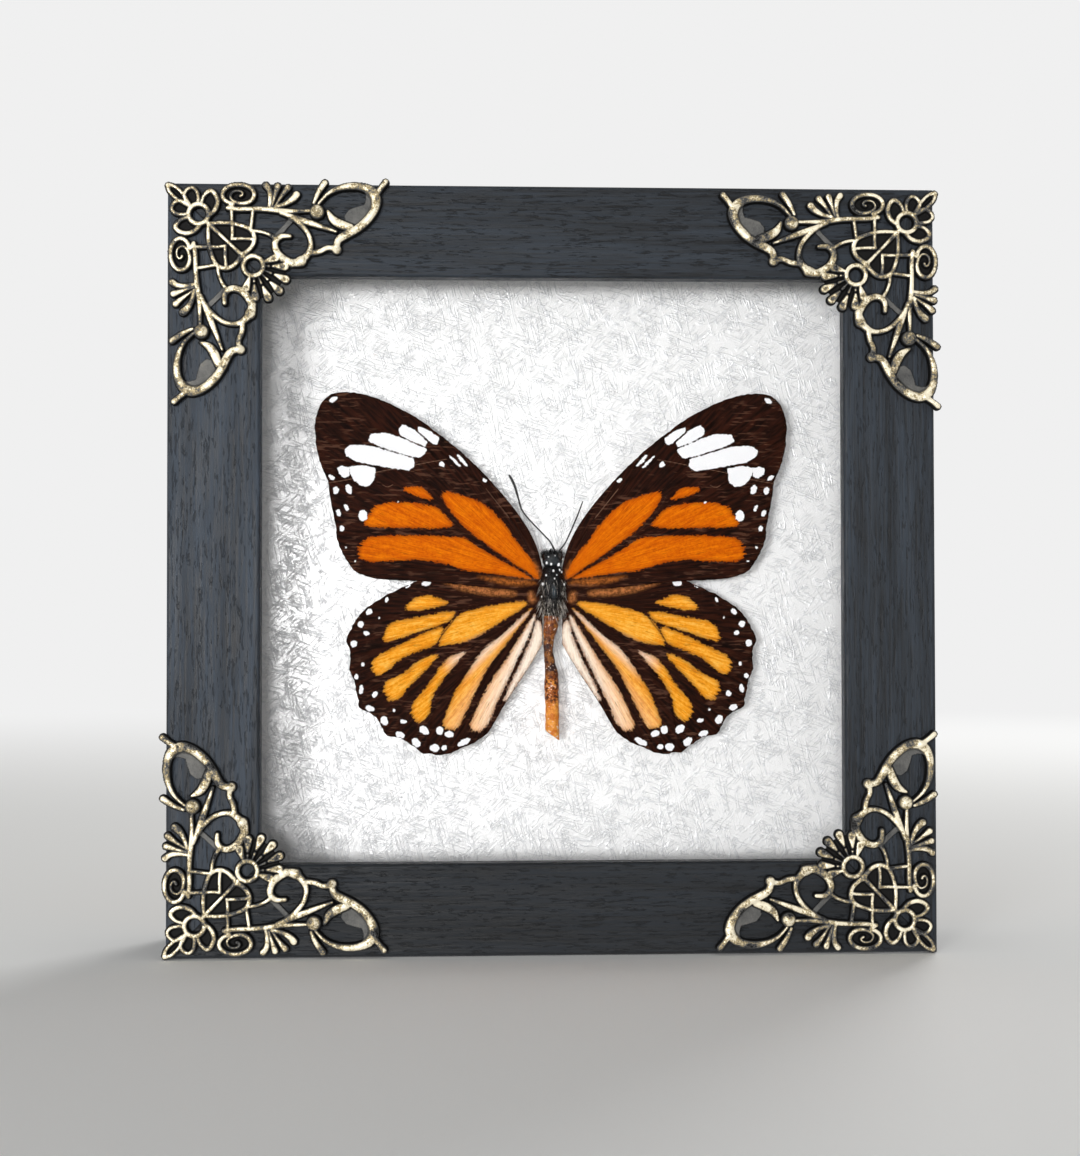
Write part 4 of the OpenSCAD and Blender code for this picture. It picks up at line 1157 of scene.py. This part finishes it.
class Growth(Graph):
    """A geometry node tree under construction, with its named inputs."""

    def __init__(self, name, **inputs):
        super().__init__(bpy.data.node_groups.new(name, "GeometryNodeTree"))
        self.tree.is_modifier = True
        new = self.tree.interface.new_socket
        new("Geometry", in_out="INPUT", socket_type="NodeSocketGeometry")
        new("Geometry", in_out="OUTPUT", socket_type="NodeSocketGeometry")
        self.given = {}
        for key, value in inputs.items():
            kind = "NodeSocketInt" if isinstance(value, int) else "NodeSocketFloat"
            self.given[new(key, in_out="INPUT", socket_type=kind).identifier] = value
        self.start = self.node("NodeGroupInput").outputs
        self.end = self.node("NodeGroupOutput")

    def random(self, low, high, kind="FLOAT", **named):
        """A random number between two, or three numbers."""
        first, output = (0, 0) if kind == "FLOAT_VECTOR" else (2, 1)
        return self.value(output, "FunctionNodeRandomValue", {"data_type": kind},
                          {first: low, first + 1: high}, **named)

    def both(self, first, second):
        return self.value(0, "FunctionNodeBooleanMath", {"operation": "AND"},
                          {0: first, 1: second})

    def scatter(self, chosen):
        """Points strewn over the chosen faces, as the tree's inputs say."""
        return self.node("GeometryNodeDistributePointsOnFaces", Mesh=self.start[0],
                         Density=self.start["Density"], Seed=self.start["Seed"],
                         Selection=chosen)

    def copies(self, points, shape, rotation, scale):
        """A copy of an object's shape at each point."""
        shape = self.value("Geometry", "GeometryNodeObjectInfo", None, {0: shape})
        return self.value(0, "GeometryNodeInstanceOnPoints", Points=points.outputs[0],
                          Instance=shape, Rotation=rotation, Scale=scale)

    def grow_on(self, base, name, geometry, material):
        """Runs the tree on an object and returns the result as a plain mesh object."""
        solid = self.node("GeometryNodeRealizeInstances", Geometry=geometry)
        dressed = self.node("GeometryNodeSetMaterial", Geometry=solid.outputs[0],
                            Material=material)
        self.put(self.end.inputs[0], dressed.outputs[0])
        modifier = base.modifiers.new("growth", "NODES")
        modifier.node_group = self.tree
        for key, value in self.given.items():
            modifier[key] = value
        mesh = plain_mesh_of(base)
        bpy.data.objects.remove(base)
        return painted(add_object(name, mesh), material)


FIBRE_STEPS = 4
# Fibres to a square millimetre, and the range of their sizes
FIBRE_DENSITY, FIBRE_SHORTEST, FIBRE_LONGEST = 0.62, 0.35, 1.25
# Half length, how far its ends bend, half width, height, and how deep it sits in the paper
FIBRE_HALF, FIBRE_BEND, FIBRE_W, FIBRE_H, FIBRE_SUNK = 1.4, 0.42, 0.07, 0.045, 0.012


def make_fibre():
    """One embossed fibre along x: a low ridge with pointed ends, curved in its plane."""
    points, faces = [], []
    for i in range(FIBRE_STEPS + 1):
        t = i / FIBRE_STEPS * 2 - 1
        swell = math.sqrt(max(1 - t * t, 0.02))
        for across, out in ((-1, 0), (0, 1), (1, 0)):
            points.append((t * FIBRE_HALF, -FIBRE_H * out * swell + FIBRE_SUNK,
                           FIBRE_BEND * t * t + across * FIBRE_W * swell))
    for a in range(0, 3 * FIBRE_STEPS, 3):
        faces += [(a, a + 3, a + 4, a + 1), (a + 1, a + 4, a + 5, a + 2)]
    last = 3 * FIBRE_STEPS
    faces += [(0, 1, 2), (last + 2, last + 1, last)]
    faces += [(a + 2, a + 5, a + 3, a) for a in range(0, 3 * FIBRE_STEPS, 3)]
    return add_solid("fibre", points, faces, smooth=False)


def make_paper():
    base = add_object("paper_base", box_mesh("paper_base", PAPER_LOW, PAPER_HIGH))
    fibre = make_fibre()
    g = Growth("embossed_fibres", Density=FIBRE_DENSITY / MM ** 2, Shortest=FIBRE_SHORTEST,
               Longest=FIBRE_LONGEST, Seed=SEED)
    front = g.value(0, "FunctionNodeCompare",
                    {"data_type": "VECTOR", "operation": "GREATER_THAN", "mode": "DOT_PRODUCT"},
                    {4: g.value(0, "GeometryNodeInputNormal"), 5: (0, -1, 0), 10: 0.9})
    turn = g.random(0.0, 2 * math.pi, Seed=g.start["Seed"])
    size = g.random(g.start["Shortest"], g.start["Longest"])
    laid = g.copies(g.scatter(front), fibre,
                    g.value(0, "ShaderNodeCombineXYZ", None, {1: turn}),
                    g.value(0, "ShaderNodeCombineXYZ", None, {0: size, 1: 1.0, 2: size}))
    joined = g.node("GeometryNodeJoinGeometry")
    g.put(joined.inputs[0], g.start[0])
    g.put(joined.inputs[0], laid)
    paper = g.grow_on(base, "embossed_paper", joined.outputs[0], PAPER)
    bpy.data.objects.remove(fibre)
    settle(paper, "backing_paper")


make_paper()

# The body


def ring_faces(count, sides):
    """Four-sided faces between the rings of a skin."""
    made = []
    for i in range(count - 1):
        for k in range(sides):
            p, q = i * sides + k, i * sides + (k + 1) % sides
            made.append((p, q, q + sides, p + sides))
    return made


def loft(name, rings, sides, rules=None, relief=None):
    """A closed skin through rings (x, y, z, half width, half depth), in millimetres.

    relief(x, y, z, angle) pushes its points out, and rules give each point its attributes.
    """
    rings = np.array(rings, float)
    a = np.linspace(0, 2 * math.pi, sides, endpoint=False)
    x = rings[:, None, 0] + rings[:, None, 3] * np.cos(a)
    y = rings[:, None, 1] + rings[:, None, 4] * np.sin(a)
    z = rings[:, None, 2] + 0 * x
    if relief is not None:
        push = relief(x, y, z, a)
        x = x + push * np.cos(a)
        y = y + push * np.sin(a)
    points = np.stack([x, y, z], -1).reshape(-1, 3)
    faces = ring_faces(len(rings), sides)
    first, last = len(points), len(points) + 1
    end = first - sides
    points = np.concatenate([points, [points[:sides].mean(0), points[-sides:].mean(0)]])
    for k in range(sides):
        q = (k + 1) % sides
        faces += [(first, q, k), (last, end + k, end + q)]
    piece = add_solid(name, points, faces)
    for key, rule in (rules or {}).items():
        keep_at_points(piece.data, key, rule(*points.T))
    return piece


def tube(name, path, sides):
    """A round tube along points (x, y, z, radius), in millimetres, closed at its ends."""
    p = np.array(path, float)
    way = np.gradient(p[:, :3], axis=0)
    way /= np.linalg.norm(way, axis=1)[:, None]
    u = np.cross(way, (0, 1, 0))
    u /= np.linalg.norm(u, axis=1)[:, None]
    v = np.cross(way, u)
    points = []
    for i in range(len(p)):
        for k in range(sides):
            a = 2 * math.pi * k / sides
            points.append(p[i, :3] + p[i, 3] * (u[i] * math.cos(a) + v[i] * math.sin(a)))
    faces = [(a, d, c, b) for a, b, c, d in ring_faces(len(p), sides)]
    faces.append(tuple(range(sides)))
    faces.append(tuple(range(len(points) - 1, len(points) - sides - 1, -1)))
    return add_solid(name, points, faces)


def ellipsoid(centre, radii, sides=28):
    """Rings of an egg shape along z, for loft."""
    a = np.linspace(0.12, math.pi - 0.12, sides // 2)
    return [(centre[0], centre[1], centre[2] + radii[2] * math.cos(t),
             radii[0] * math.sin(t), radii[1] * math.sin(t)) for t in a]


def joined(name, parts):
    """Several objects as one, keeping their materials."""
    bpy.ops.object.select_all(action="DESELECT")
    for part in parts:
        part.select_set(True)
    bpy.context.view_layer.objects.active = parts[0]
    bpy.ops.object.join()
    parts[0].name = name
    return parts[0]


def ripple(x, z, seed):
    """Smooth random bumps on a skin, from -1 to 1."""
    rng = np.random.default_rng(seed)
    made = 0
    for _ in range(9):
        way = rng.normal(size=2)
        made = made + np.sin(way[0] * x + way[1] * z + rng.uniform(0, 6.3))
    return made / 9


def bell(x, middle, wide):
    return np.exp(-((x - middle) / wide) ** 2)


BODY_Y = FORE_Y
HEAD_LOW, HEAD_HIGH = node_box("head")
HEAD_Z = (HEAD_LOW[2] + HEAD_HIGH[2]) / 2 - MID_Z
# Middle and radius of each white dot on the head and thorax, from the body's middle
WHITE_DOTS = [(-1.0, 1.45, 0.27), (-0.25, 1.2, 0.25), (1.05, 1.15, 0.33), (0.12, 0.05, 0.24),
              (1.2, 0.15, 0.24), (1.6, -0.15, 0.2), (-1.15, -0.75, 0.2), (-1.7, -2.3, 0.28),
              (2.0, -2.35, 0.26), (1.75, 2.2, 0.22), (-0.7, 2.5, 0.16), (0.45, 2.7, 0.15),
              (0.3, -1.35, 0.17), (-1.9, -4.5, 0.16), (0.7, -0.7, 0.14)]
# Height over the case's middle, half width and half depth of the head and thorax
TRUNK = [(3.5, 0.5, 0.5), (3.1, 1.2, 1.0), (2.5, 1.65, 1.3), (1.8, 1.75, 1.4),
         (1.1, 1.5, 1.35), (0.4, 1.65, 1.6), (-0.8, 1.95, 1.95), (-2.2, 2.2, 2.1),
         (-4.0, 2.3, 2.05), (-5.6, 2.15, 1.75), (-7.0, 1.75, 1.35), (-8.1, 1.2, 1.0),
         (-8.55, 0.6, 0.6)]
# How many of the trunk's rows are the head's, and the height where the thorax takes over
HEAD_ROWS, NECK = 5, 1.1
# Height, sideways shift, half width and half depth of the abdomen's rings
ABDOMEN_RINGS = [(-7.4, -0.1, 0.7, 0.8), (-7.9, -0.12, 1.25, 1.1), (-8.8, -0.2, 1.36, 1.2),
                 (-10.5, -0.42, 1.18, 1.1), (-12, -0.6, 0.95, 0.95), (-14, -0.68, 0.84, 0.88),
                 (-16, -0.45, 0.96, 0.92), (-17.8, -0.2, 1.14, 1.0), (-19.5, -0.16, 1.26, 1.05),
                 (-22, -0.12, 1.26, 1.08), (-24.5, -0.06, 1.22, 1.0), (-26.8, -0.1, 1.23, 0.92),
                 (-27.9, -0.04, 1.22, 0.8), (-28.05, -0.02, 0.9, 0.55)]
# The abdomen's end is cut off slantwise, lower towards +X
CUT_HALF, CUT_SLOPE, CUT_FROM, CUT_TO = 1.25, 0.72, -25.5, -28
JOINT_PITCH = 2.45
# Where its tints lie: no tint, full, full, no tint
DARK_MIDDLE, DARK_TOP = (-19.2, -17.4, -12.6, -10.2), (-13, -10.5, -4, -3)
SPECKS, LIGHT_END = (-24, -22.4, -18.6, -17.4), (-40, -39, -23.6, -22)


def on_body(h, x=0.0, y=0.0):
    return (BODY_X + x, BODY_Y + y, MID_Z + h)


def add_dots(low, high):
    """Tufts of white scales on the trunk between two heights, as separate small domes."""
    rows = np.array(TRUNK)[::-1]
    made = []
    for du, dz, r in WHITE_DOTS:
        if low <= dz < high:
            rx, ry = [np.interp(dz, rows[:, 0], rows[:, k]) for k in (1, 2)]
            y = BODY_Y - ry * math.sqrt(max(1 - (du / rx) ** 2, 0.1))
            at = (BODY_X + du, y, MID_Z + dz)
            skin = loft("dot", ellipsoid(at, (r * 0.85, 0.16, r), 14), 12, None,
                        lambda x, y, z, a: 0.04 * ripple(x * 9, z * 9, SEED))
            made.append(painted(skin, WHITE_SCALE))
    return made


def make_thorax():
    profile = spline([(1.25, 0.35, 0.35), (1.1, 1.1, 1.05), *TRUNK[HEAD_ROWS:]], 8)
    rings = [(*on_body(h), rx, ry) for h, rx, ry in profile]

    def relief(x, y, z, a):
        h = z - MID_Z
        front = np.clip(-np.sin(a), 0, 1)
        collar = -0.16 * bell(h, -0.35, 0.22)
        seam = -0.12 * front ** 6 * smoothstep(-6.5, -5, h) * smoothstep(0, -1.5, h)
        scute = -0.14 * bell(h, -5.1, 0.25) * front
        return collar + seam + scute + 0.05 * ripple(x * 3, z * 3 + y * 2, SEED + 8)

    def down(x, y, z):
        h = z - MID_Z
        side = np.abs(x - BODY_X - 0.1)
        low = smoothstep(-4.8, -6.2, h) * (1 - bell(side, 0, 0.55) * bell(h, -6.1, 0.8))
        return 0.6 * low + 0.5 * smoothstep(0.9, 1.9, side) * smoothstep(-0.5, -3, h)

    # Where the painted reflection lies: a soft patch in the middle of the thorax.
    def shine(x, y, z):
        return 0.4 * bell(x - BODY_X, 0.2, 0.3) * bell(z - MID_Z, -3.6, 0.8)

    skin = loft("thorax_skin", rings, 56, {"down": down, "shine": shine}, relief)
    thorax = joined("thorax_skin", [painted(skin, CHITIN), *add_dots(-9, NECK)])
    settle(thorax, "thorax")


def make_abdomen():
    rings = [(*on_body(h, shift), rx, ry) for h, shift, rx, ry in spline(ABDOMEN_RINGS, 7)]

    def relief(x, y, z, a):
        wave = 0.5 + 0.5 * np.cos(2 * math.pi * (z - MID_Z + 9) / JOINT_PITCH)
        return -0.09 * wave ** 8 + 0.09 * ripple(x * 2.2, z * 2.2 + y, SEED + 9)

    def band(low, low_end, high_start, high):
        return lambda x, y, z: (smoothstep(low, low_end, z - MID_Z)
                                * smoothstep(high, high_start, z - MID_Z))

    def dark(x, y, z):
        # The top band is darker towards +X: painted shade on the side away from the light.
        side = smoothstep(-0.6, 1.0, x - BODY_X)
        return np.maximum(band(*DARK_MIDDLE)(x, y, z),
                          (0.5 + 0.4 * side) * band(*DARK_TOP)(x, y, z))

    rules = {"dark": dark, "specks": band(*SPECKS), "light": band(*LIGHT_END)}
    abdomen = loft("abdomen_skin", rings, 40, rules, relief)
    for vertex in abdomen.data.vertices:
        height = vertex.co.z / MM - MID_Z
        across = vertex.co.x / MM - (BODY_X - CUT_HALF)
        vertex.co.z -= CUT_SLOPE * across * smoothstep(CUT_FROM, CUT_TO, height) * MM
    settle(painted(abdomen, ABDOMEN), "abdomen")


def make_head():
    rings = [(*on_body(h), rx, ry)
             for h, rx, ry in spline([*TRUNK[:HEAD_ROWS], (0.75, 0.9, 0.9)], 8)]

    def bumpy(x, y, z, a):
        return 0.08 * ripple(x * 3, z * 3 + y, SEED + 10)

    # The head gets a slight even share of grey down and of painted reflection.
    def slight(x, y, z):
        return 0.12 + 0 * x

    skull = loft("head_skin", rings, 44, {"down": slight, "shine": slight}, bumpy)
    parts = [painted(skull, CHITIN), *add_dots(NECK, 4)]
    for side in (-1, 1):
        at = on_body(HEAD_Z + 0.1, side * 1.2, -0.25)
        parts.append(painted(loft("eye", ellipsoid(at, (0.68, 0.95, 0.95)), 28), EYE))
        palp = spline([(side * 0.25, -0.9, 0.4, 0.2), (side * 0.35, -1.15, 0.95, 0.22),
                       (side * 0.3, -1.1, 1.35, 0.1)], 4)
        rings = [(*on_body(HEAD_Z + h, x, y), r, r) for x, y, h, r in palp]
        parts.append(painted(loft("palp", rings, 10), CHITIN))
    settle(joined("head_finished", parts), "head")


# How much thinner each antenna is at every third ring, and how many rings its points make
JOINT_SHARE, JOINT_RINGS = 0.93, {"antenna_left": 24, "antenna_right": 32}
# Points of each antenna, from the middle of the head's top: x, y, z and radius
ANTENNAE = {
    "antenna_left": [(0.3, 0, 0.05, 0.15), (-0.4, -0.2, 1.3, 0.135), (-1.5, -0.4, 2.5, 0.13),
                     (-4.1, -0.8, 5.2, 0.13), (-5.4, -1, 6.9, 0.14), (-6, -1.1, 8.8, 0.17),
                     (-6.6, -1.2, 10.9, 0.22), (-7.4, -1.2, 12.6, 0.21),
                     (-7.7, -1.2, 13, 0.1)],
    "antenna_right": [(1.2, 0, -0.25, 0.15), (2.2, -0.3, 1, 0.13), (3.1, -0.6, 2.9, 0.13),
                      (4.3, -1, 5.7, 0.135), (5.3, -1.2, 8.4, 0.1)],
}


def make_antennae():
    for node, points in ANTENNAE.items():
        path = spline(points, JOINT_RINGS[node])
        path[:, :3] += (BODY_X, BODY_Y - 0.3, HEAD_HIGH[2] + 0.1)
        path[::3, 3] *= JOINT_SHARE
        settle(painted(tube(node + "_jointed", path, 10), FEELER), node)


HAIR_T, HAIR_SPREAD = 0.036, 0.45


def add_hairs(name, node, source, material, density, length, seed, band, lean):
    """Short hairs on a skin, between two heights over the case's middle, combed one way."""
    skin = add_object(name + "_skin", bpy.data.objects[source].data.copy())
    foot = [(HAIR_T, 0, 0), (-HAIR_T / 2, 0.87 * HAIR_T, 0), (-HAIR_T / 2, -0.87 * HAIR_T, 0)]
    strand = add_solid("strand", foot + [(0.1, 0, 1)],
                       [(0, 1, 3), (1, 2, 3), (2, 0, 3), (2, 1, 0)], False, False)
    g = Growth(name, Density=density / MM ** 2, Shortest=length * 0.5, Longest=length, Seed=seed,
               Lowest=(MID_Z + band[0]) * MM, Highest=(MID_Z + band[1]) * MM)
    place = g.value(0, "GeometryNodeInputPosition")
    height = g.value(2, "ShaderNodeSeparateXYZ", Vector=place)
    above, below = [g.value(0, "FunctionNodeCompare", {"data_type": "FLOAT", "operation": way},
                            {0: height, 1: g.start[limit]})
                    for way, limit in (("GREATER_THAN", "Lowest"), ("LESS_THAN", "Highest"))]
    points = g.scatter(g.both(above, below))
    way = points.outputs["Normal"]
    spread = g.random([-HAIR_SPREAD] * 3, [HAIR_SPREAD] * 3, "FLOAT_VECTOR")
    for push in (spread, lean):
        way = g.value(0, "ShaderNodeVectorMath", {"operation": "ADD"}, {0: way, 1: push})
    combed = g.value(0, "FunctionNodeAlignRotationToVector", {"axis": "Z"}, Vector=way)
    laid = g.copies(points, strand, combed, g.random(g.start["Shortest"], g.start["Longest"]))
    made = g.grow_on(skin, name, laid, material)
    bpy.data.objects.remove(strand)
    settle(made, node, replaced=False)


make_thorax()
make_abdomen()
make_head()
make_antennae()
GREY_HAIR = plain_finish("grey_down", rgb(52, 47, 43), rgb(206, 198, 188), 0.5, 0.6)
BLACK_HAIR = plain_finish("black_down", rgb(4, 4, 4), rgb(18, 17, 17), 0.3, 0.5)
add_hairs("thorax_black_hairs", "thorax", "thorax_skin", BLACK_HAIR, 16, 0.5, SEED + 11,
          (-2.5, 1.4), (0, 0, -0.6))
add_hairs("thorax_grey_hairs", "thorax", "thorax_skin", GREY_HAIR, 4, 2.2, SEED + 12,
          (-8.4, -5.0), (0, 0, -2.2))
add_hairs("thorax_side_hairs", "thorax", "thorax_skin", GREY_HAIR, 2.0, 1.5, SEED + 14,
          (-4.6, -1.5), (0, 0, -2.2))
add_hairs("head_hairs", "head", "head_finished", BLACK_HAIR, 34, 0.75, SEED + 13,
          (2.2, 4.2), (0, -0.1, 0.9))

# Finished copies of the hardware and boards, their edges broken

WELD, FLAT_ANGLE, BEVEL_ANGLE, SHARP_ANGLE = 0.001, 1.0, 40, 35


def finished_copy(node, material, bevel):
    """A node's shape with merged corners and rounded edges, in its place."""
    mesh = frame["nodes"][node].data.copy()
    shape = bmesh.new()
    shape.from_mesh(mesh)
    bmesh.ops.remove_doubles(shape, verts=shape.verts, dist=WELD * MM)
    bmesh.ops.dissolve_limit(shape, angle_limit=math.radians(FLAT_ANGLE), verts=shape.verts,
                             edges=shape.edges)
    shape.to_mesh(mesh)
    shape.free()
    piece = add_object(node + "_finished", mesh)
    mod = piece.modifiers.new("edges", "BEVEL")
    mod.width = bevel * MM
    mod.segments = 2
    mod.limit_method = "ANGLE"
    mod.angle_limit = math.radians(BEVEL_ANGLE)
    mod.use_clamp_overlap = True
    final = plain_mesh_of(piece)
    piece.modifiers.clear()
    piece.data = final
    final.name = piece.name
    final.polygons.foreach_set("use_smooth", np.full(len(final.polygons), True))
    final.set_sharp_from_angle(angle=math.radians(SHARP_ANGLE))
    settle(painted(piece, material), node)


for across in ("left", "right"):
    for level in ("upper", "lower"):
        finished_copy(f"turn_button_{across}_{level}", BRASS, 0.18)
finished_copy("turn_button_screws", SCREW, 0.1)
finished_copy("hanger_plate", BRASS, 0.15)
finished_copy("hanger_screws", SCREW, 0.1)
finished_copy("back_board", FIBREBOARD, 0.25)
finished_copy("mount_board", FOAM, 0.2)
finished_copy("specimen_pad", FOAM, 0.15)
for place in ("bottom", "right", "top", "left"):
    finished_copy("spacer_" + place, SPACER, 0.2)

# Nodes that stay as the frame has them
for rail, (upright, painted_light_level) in RAILS.items():
    painted(frame["nodes"][rail], painted_wood("painted_wood_" + rail, upright, painted_light_level))
painted(frame["nodes"]["glass_pane"], GLASS)
painted(frame["nodes"]["corner_v_nails"], STEEL)
painted(frame["nodes"]["hanger_ring"], BRASS)

# Floor, lights and camera

BACKGROUND = rgb(240, 240, 240)
WORLD_LIGHT = 0.4
FLOOR_HALF, FLOOR_NEAR, FLOOR_FAR = 3.0, 0.2, 0.8


def make_floor():
    """A pale floor that runs into the pale background some way from the case."""
    s = Shader("pale_floor")
    away = s.node("ShaderNodeVectorMath", {"operation": "LENGTH"}, {0: s.spot()})
    fade = s.span(away.outputs["Value"], FLOOR_NEAR, FLOOR_FAR)
    seen = fade * s.node("ShaderNodeLightPath").outputs["Is Camera Ray"]
    s.cover(seen, s.node("ShaderNodeEmission", Color=BACKGROUND, Strength=1.0))
    half = FLOOR_HALF / MM
    corners = [(-half, -half, 0), (half, -half, 0), (half, half, 0), (-half, half, 0)]
    floor = add_solid("floor", corners, [(0, 1, 2, 3)], False, False)
    painted(floor, s.finish(Base_Color=rgb(242, 242, 240), Roughness=0.9,
                            Specular_IOR_Level=0.1))
    floor.visible_glossy = False


def make_world():
    """A pale studio all round: dimmer as light than where it is seen, even in a mirror."""
    world = bpy.data.worlds.new("studio")
    bpy.context.scene.world = world
    world.use_nodes = True
    g = Graph(world.node_tree)
    light = g.tree.nodes["Background"]
    g.put(light.inputs["Color"], (1, 1, 1, 1))
    g.put(light.inputs["Strength"], WORLD_LIGHT)
    shown = g.node("ShaderNodeBackground", Color=BACKGROUND, Strength=1.0)
    path = g.node("ShaderNodeLightPath").outputs
    seen = path["Is Camera Ray"]
    for kind in ("Is Glossy Ray", "Is Transmission Ray"):
        seen = g.math("MAXIMUM", seen, path[kind])
    g.put(g.tree.nodes["World Output"].inputs[0], g.shared(seen, light, shown))


def add_turned(name, data, at, turn):
    """A lamp or camera in its place, turned by a quaternion."""
    made = add_object(name, data)
    made.location = at
    made.rotation_mode = "QUATERNION"
    made.rotation_quaternion = turn
    return made


def area_light(name, at, power, size):
    """A round lamp that aims at the middle of the case."""
    lamp = bpy.data.lights.new(name, "AREA")
    lamp.shape = "DISK"
    lamp.size = size
    lamp.energy = power
    way = Vector((0, 0, MID_Z * MM)) - Vector(at)
    add_turned(name, lamp, at, way.to_track_quat("-Z", "Y"))


make_floor()
make_world()
area_light("key", (-0.42, -0.87, 0.07), 6.6, 0.3)
area_light("front_fill", (-0.08, -0.95, 0.06), 2.0, 0.16)
area_light("rear_fill", (0.5, 0.9, 0.5), 6.0, 0.5)

# A dark card behind the camera, which only mirrors and glass see, keeps the glass clear
card = add_object("dark_card", box_mesh("dark_card", (-165, -372, -95), (135, -368, 200)))
card_black = Shader("dark_card").finish(Base_Color=rgb(16, 16, 16), Roughness=1.0,
                                        Specular_IOR_Level=0.0)
painted(card, card_black)
card.visible_camera = False
card.visible_diffuse = False
card.visible_shadow = False

# The camera stands where the photograph was taken
CAMERA_AT = (-15.35, -312.475, 57.43)
CAMERA_WAY = (0.043, 0.9989, 0.0203)
CAMERA_ROLL = -0.082
FOCAL, SENSOR = 55.43, 36.0
camera_data = bpy.data.cameras.new("camera")
camera_data.sensor_width = SENSOR
camera_data.lens = FOCAL
camera_data.clip_start = 0.01
camera_data.clip_end = 20
rolled = Matrix.Rotation(math.radians(CAMERA_ROLL), 3, "Z").to_quaternion()
camera = add_turned("camera", camera_data, Vector(CAMERA_AT) * MM,
                    Vector(CAMERA_WAY).to_track_quat("-Z", "Y") @ rolled)
bpy.context.scene.camera = camera
bpy.context.scene.view_settings.view_transform = "Standard"
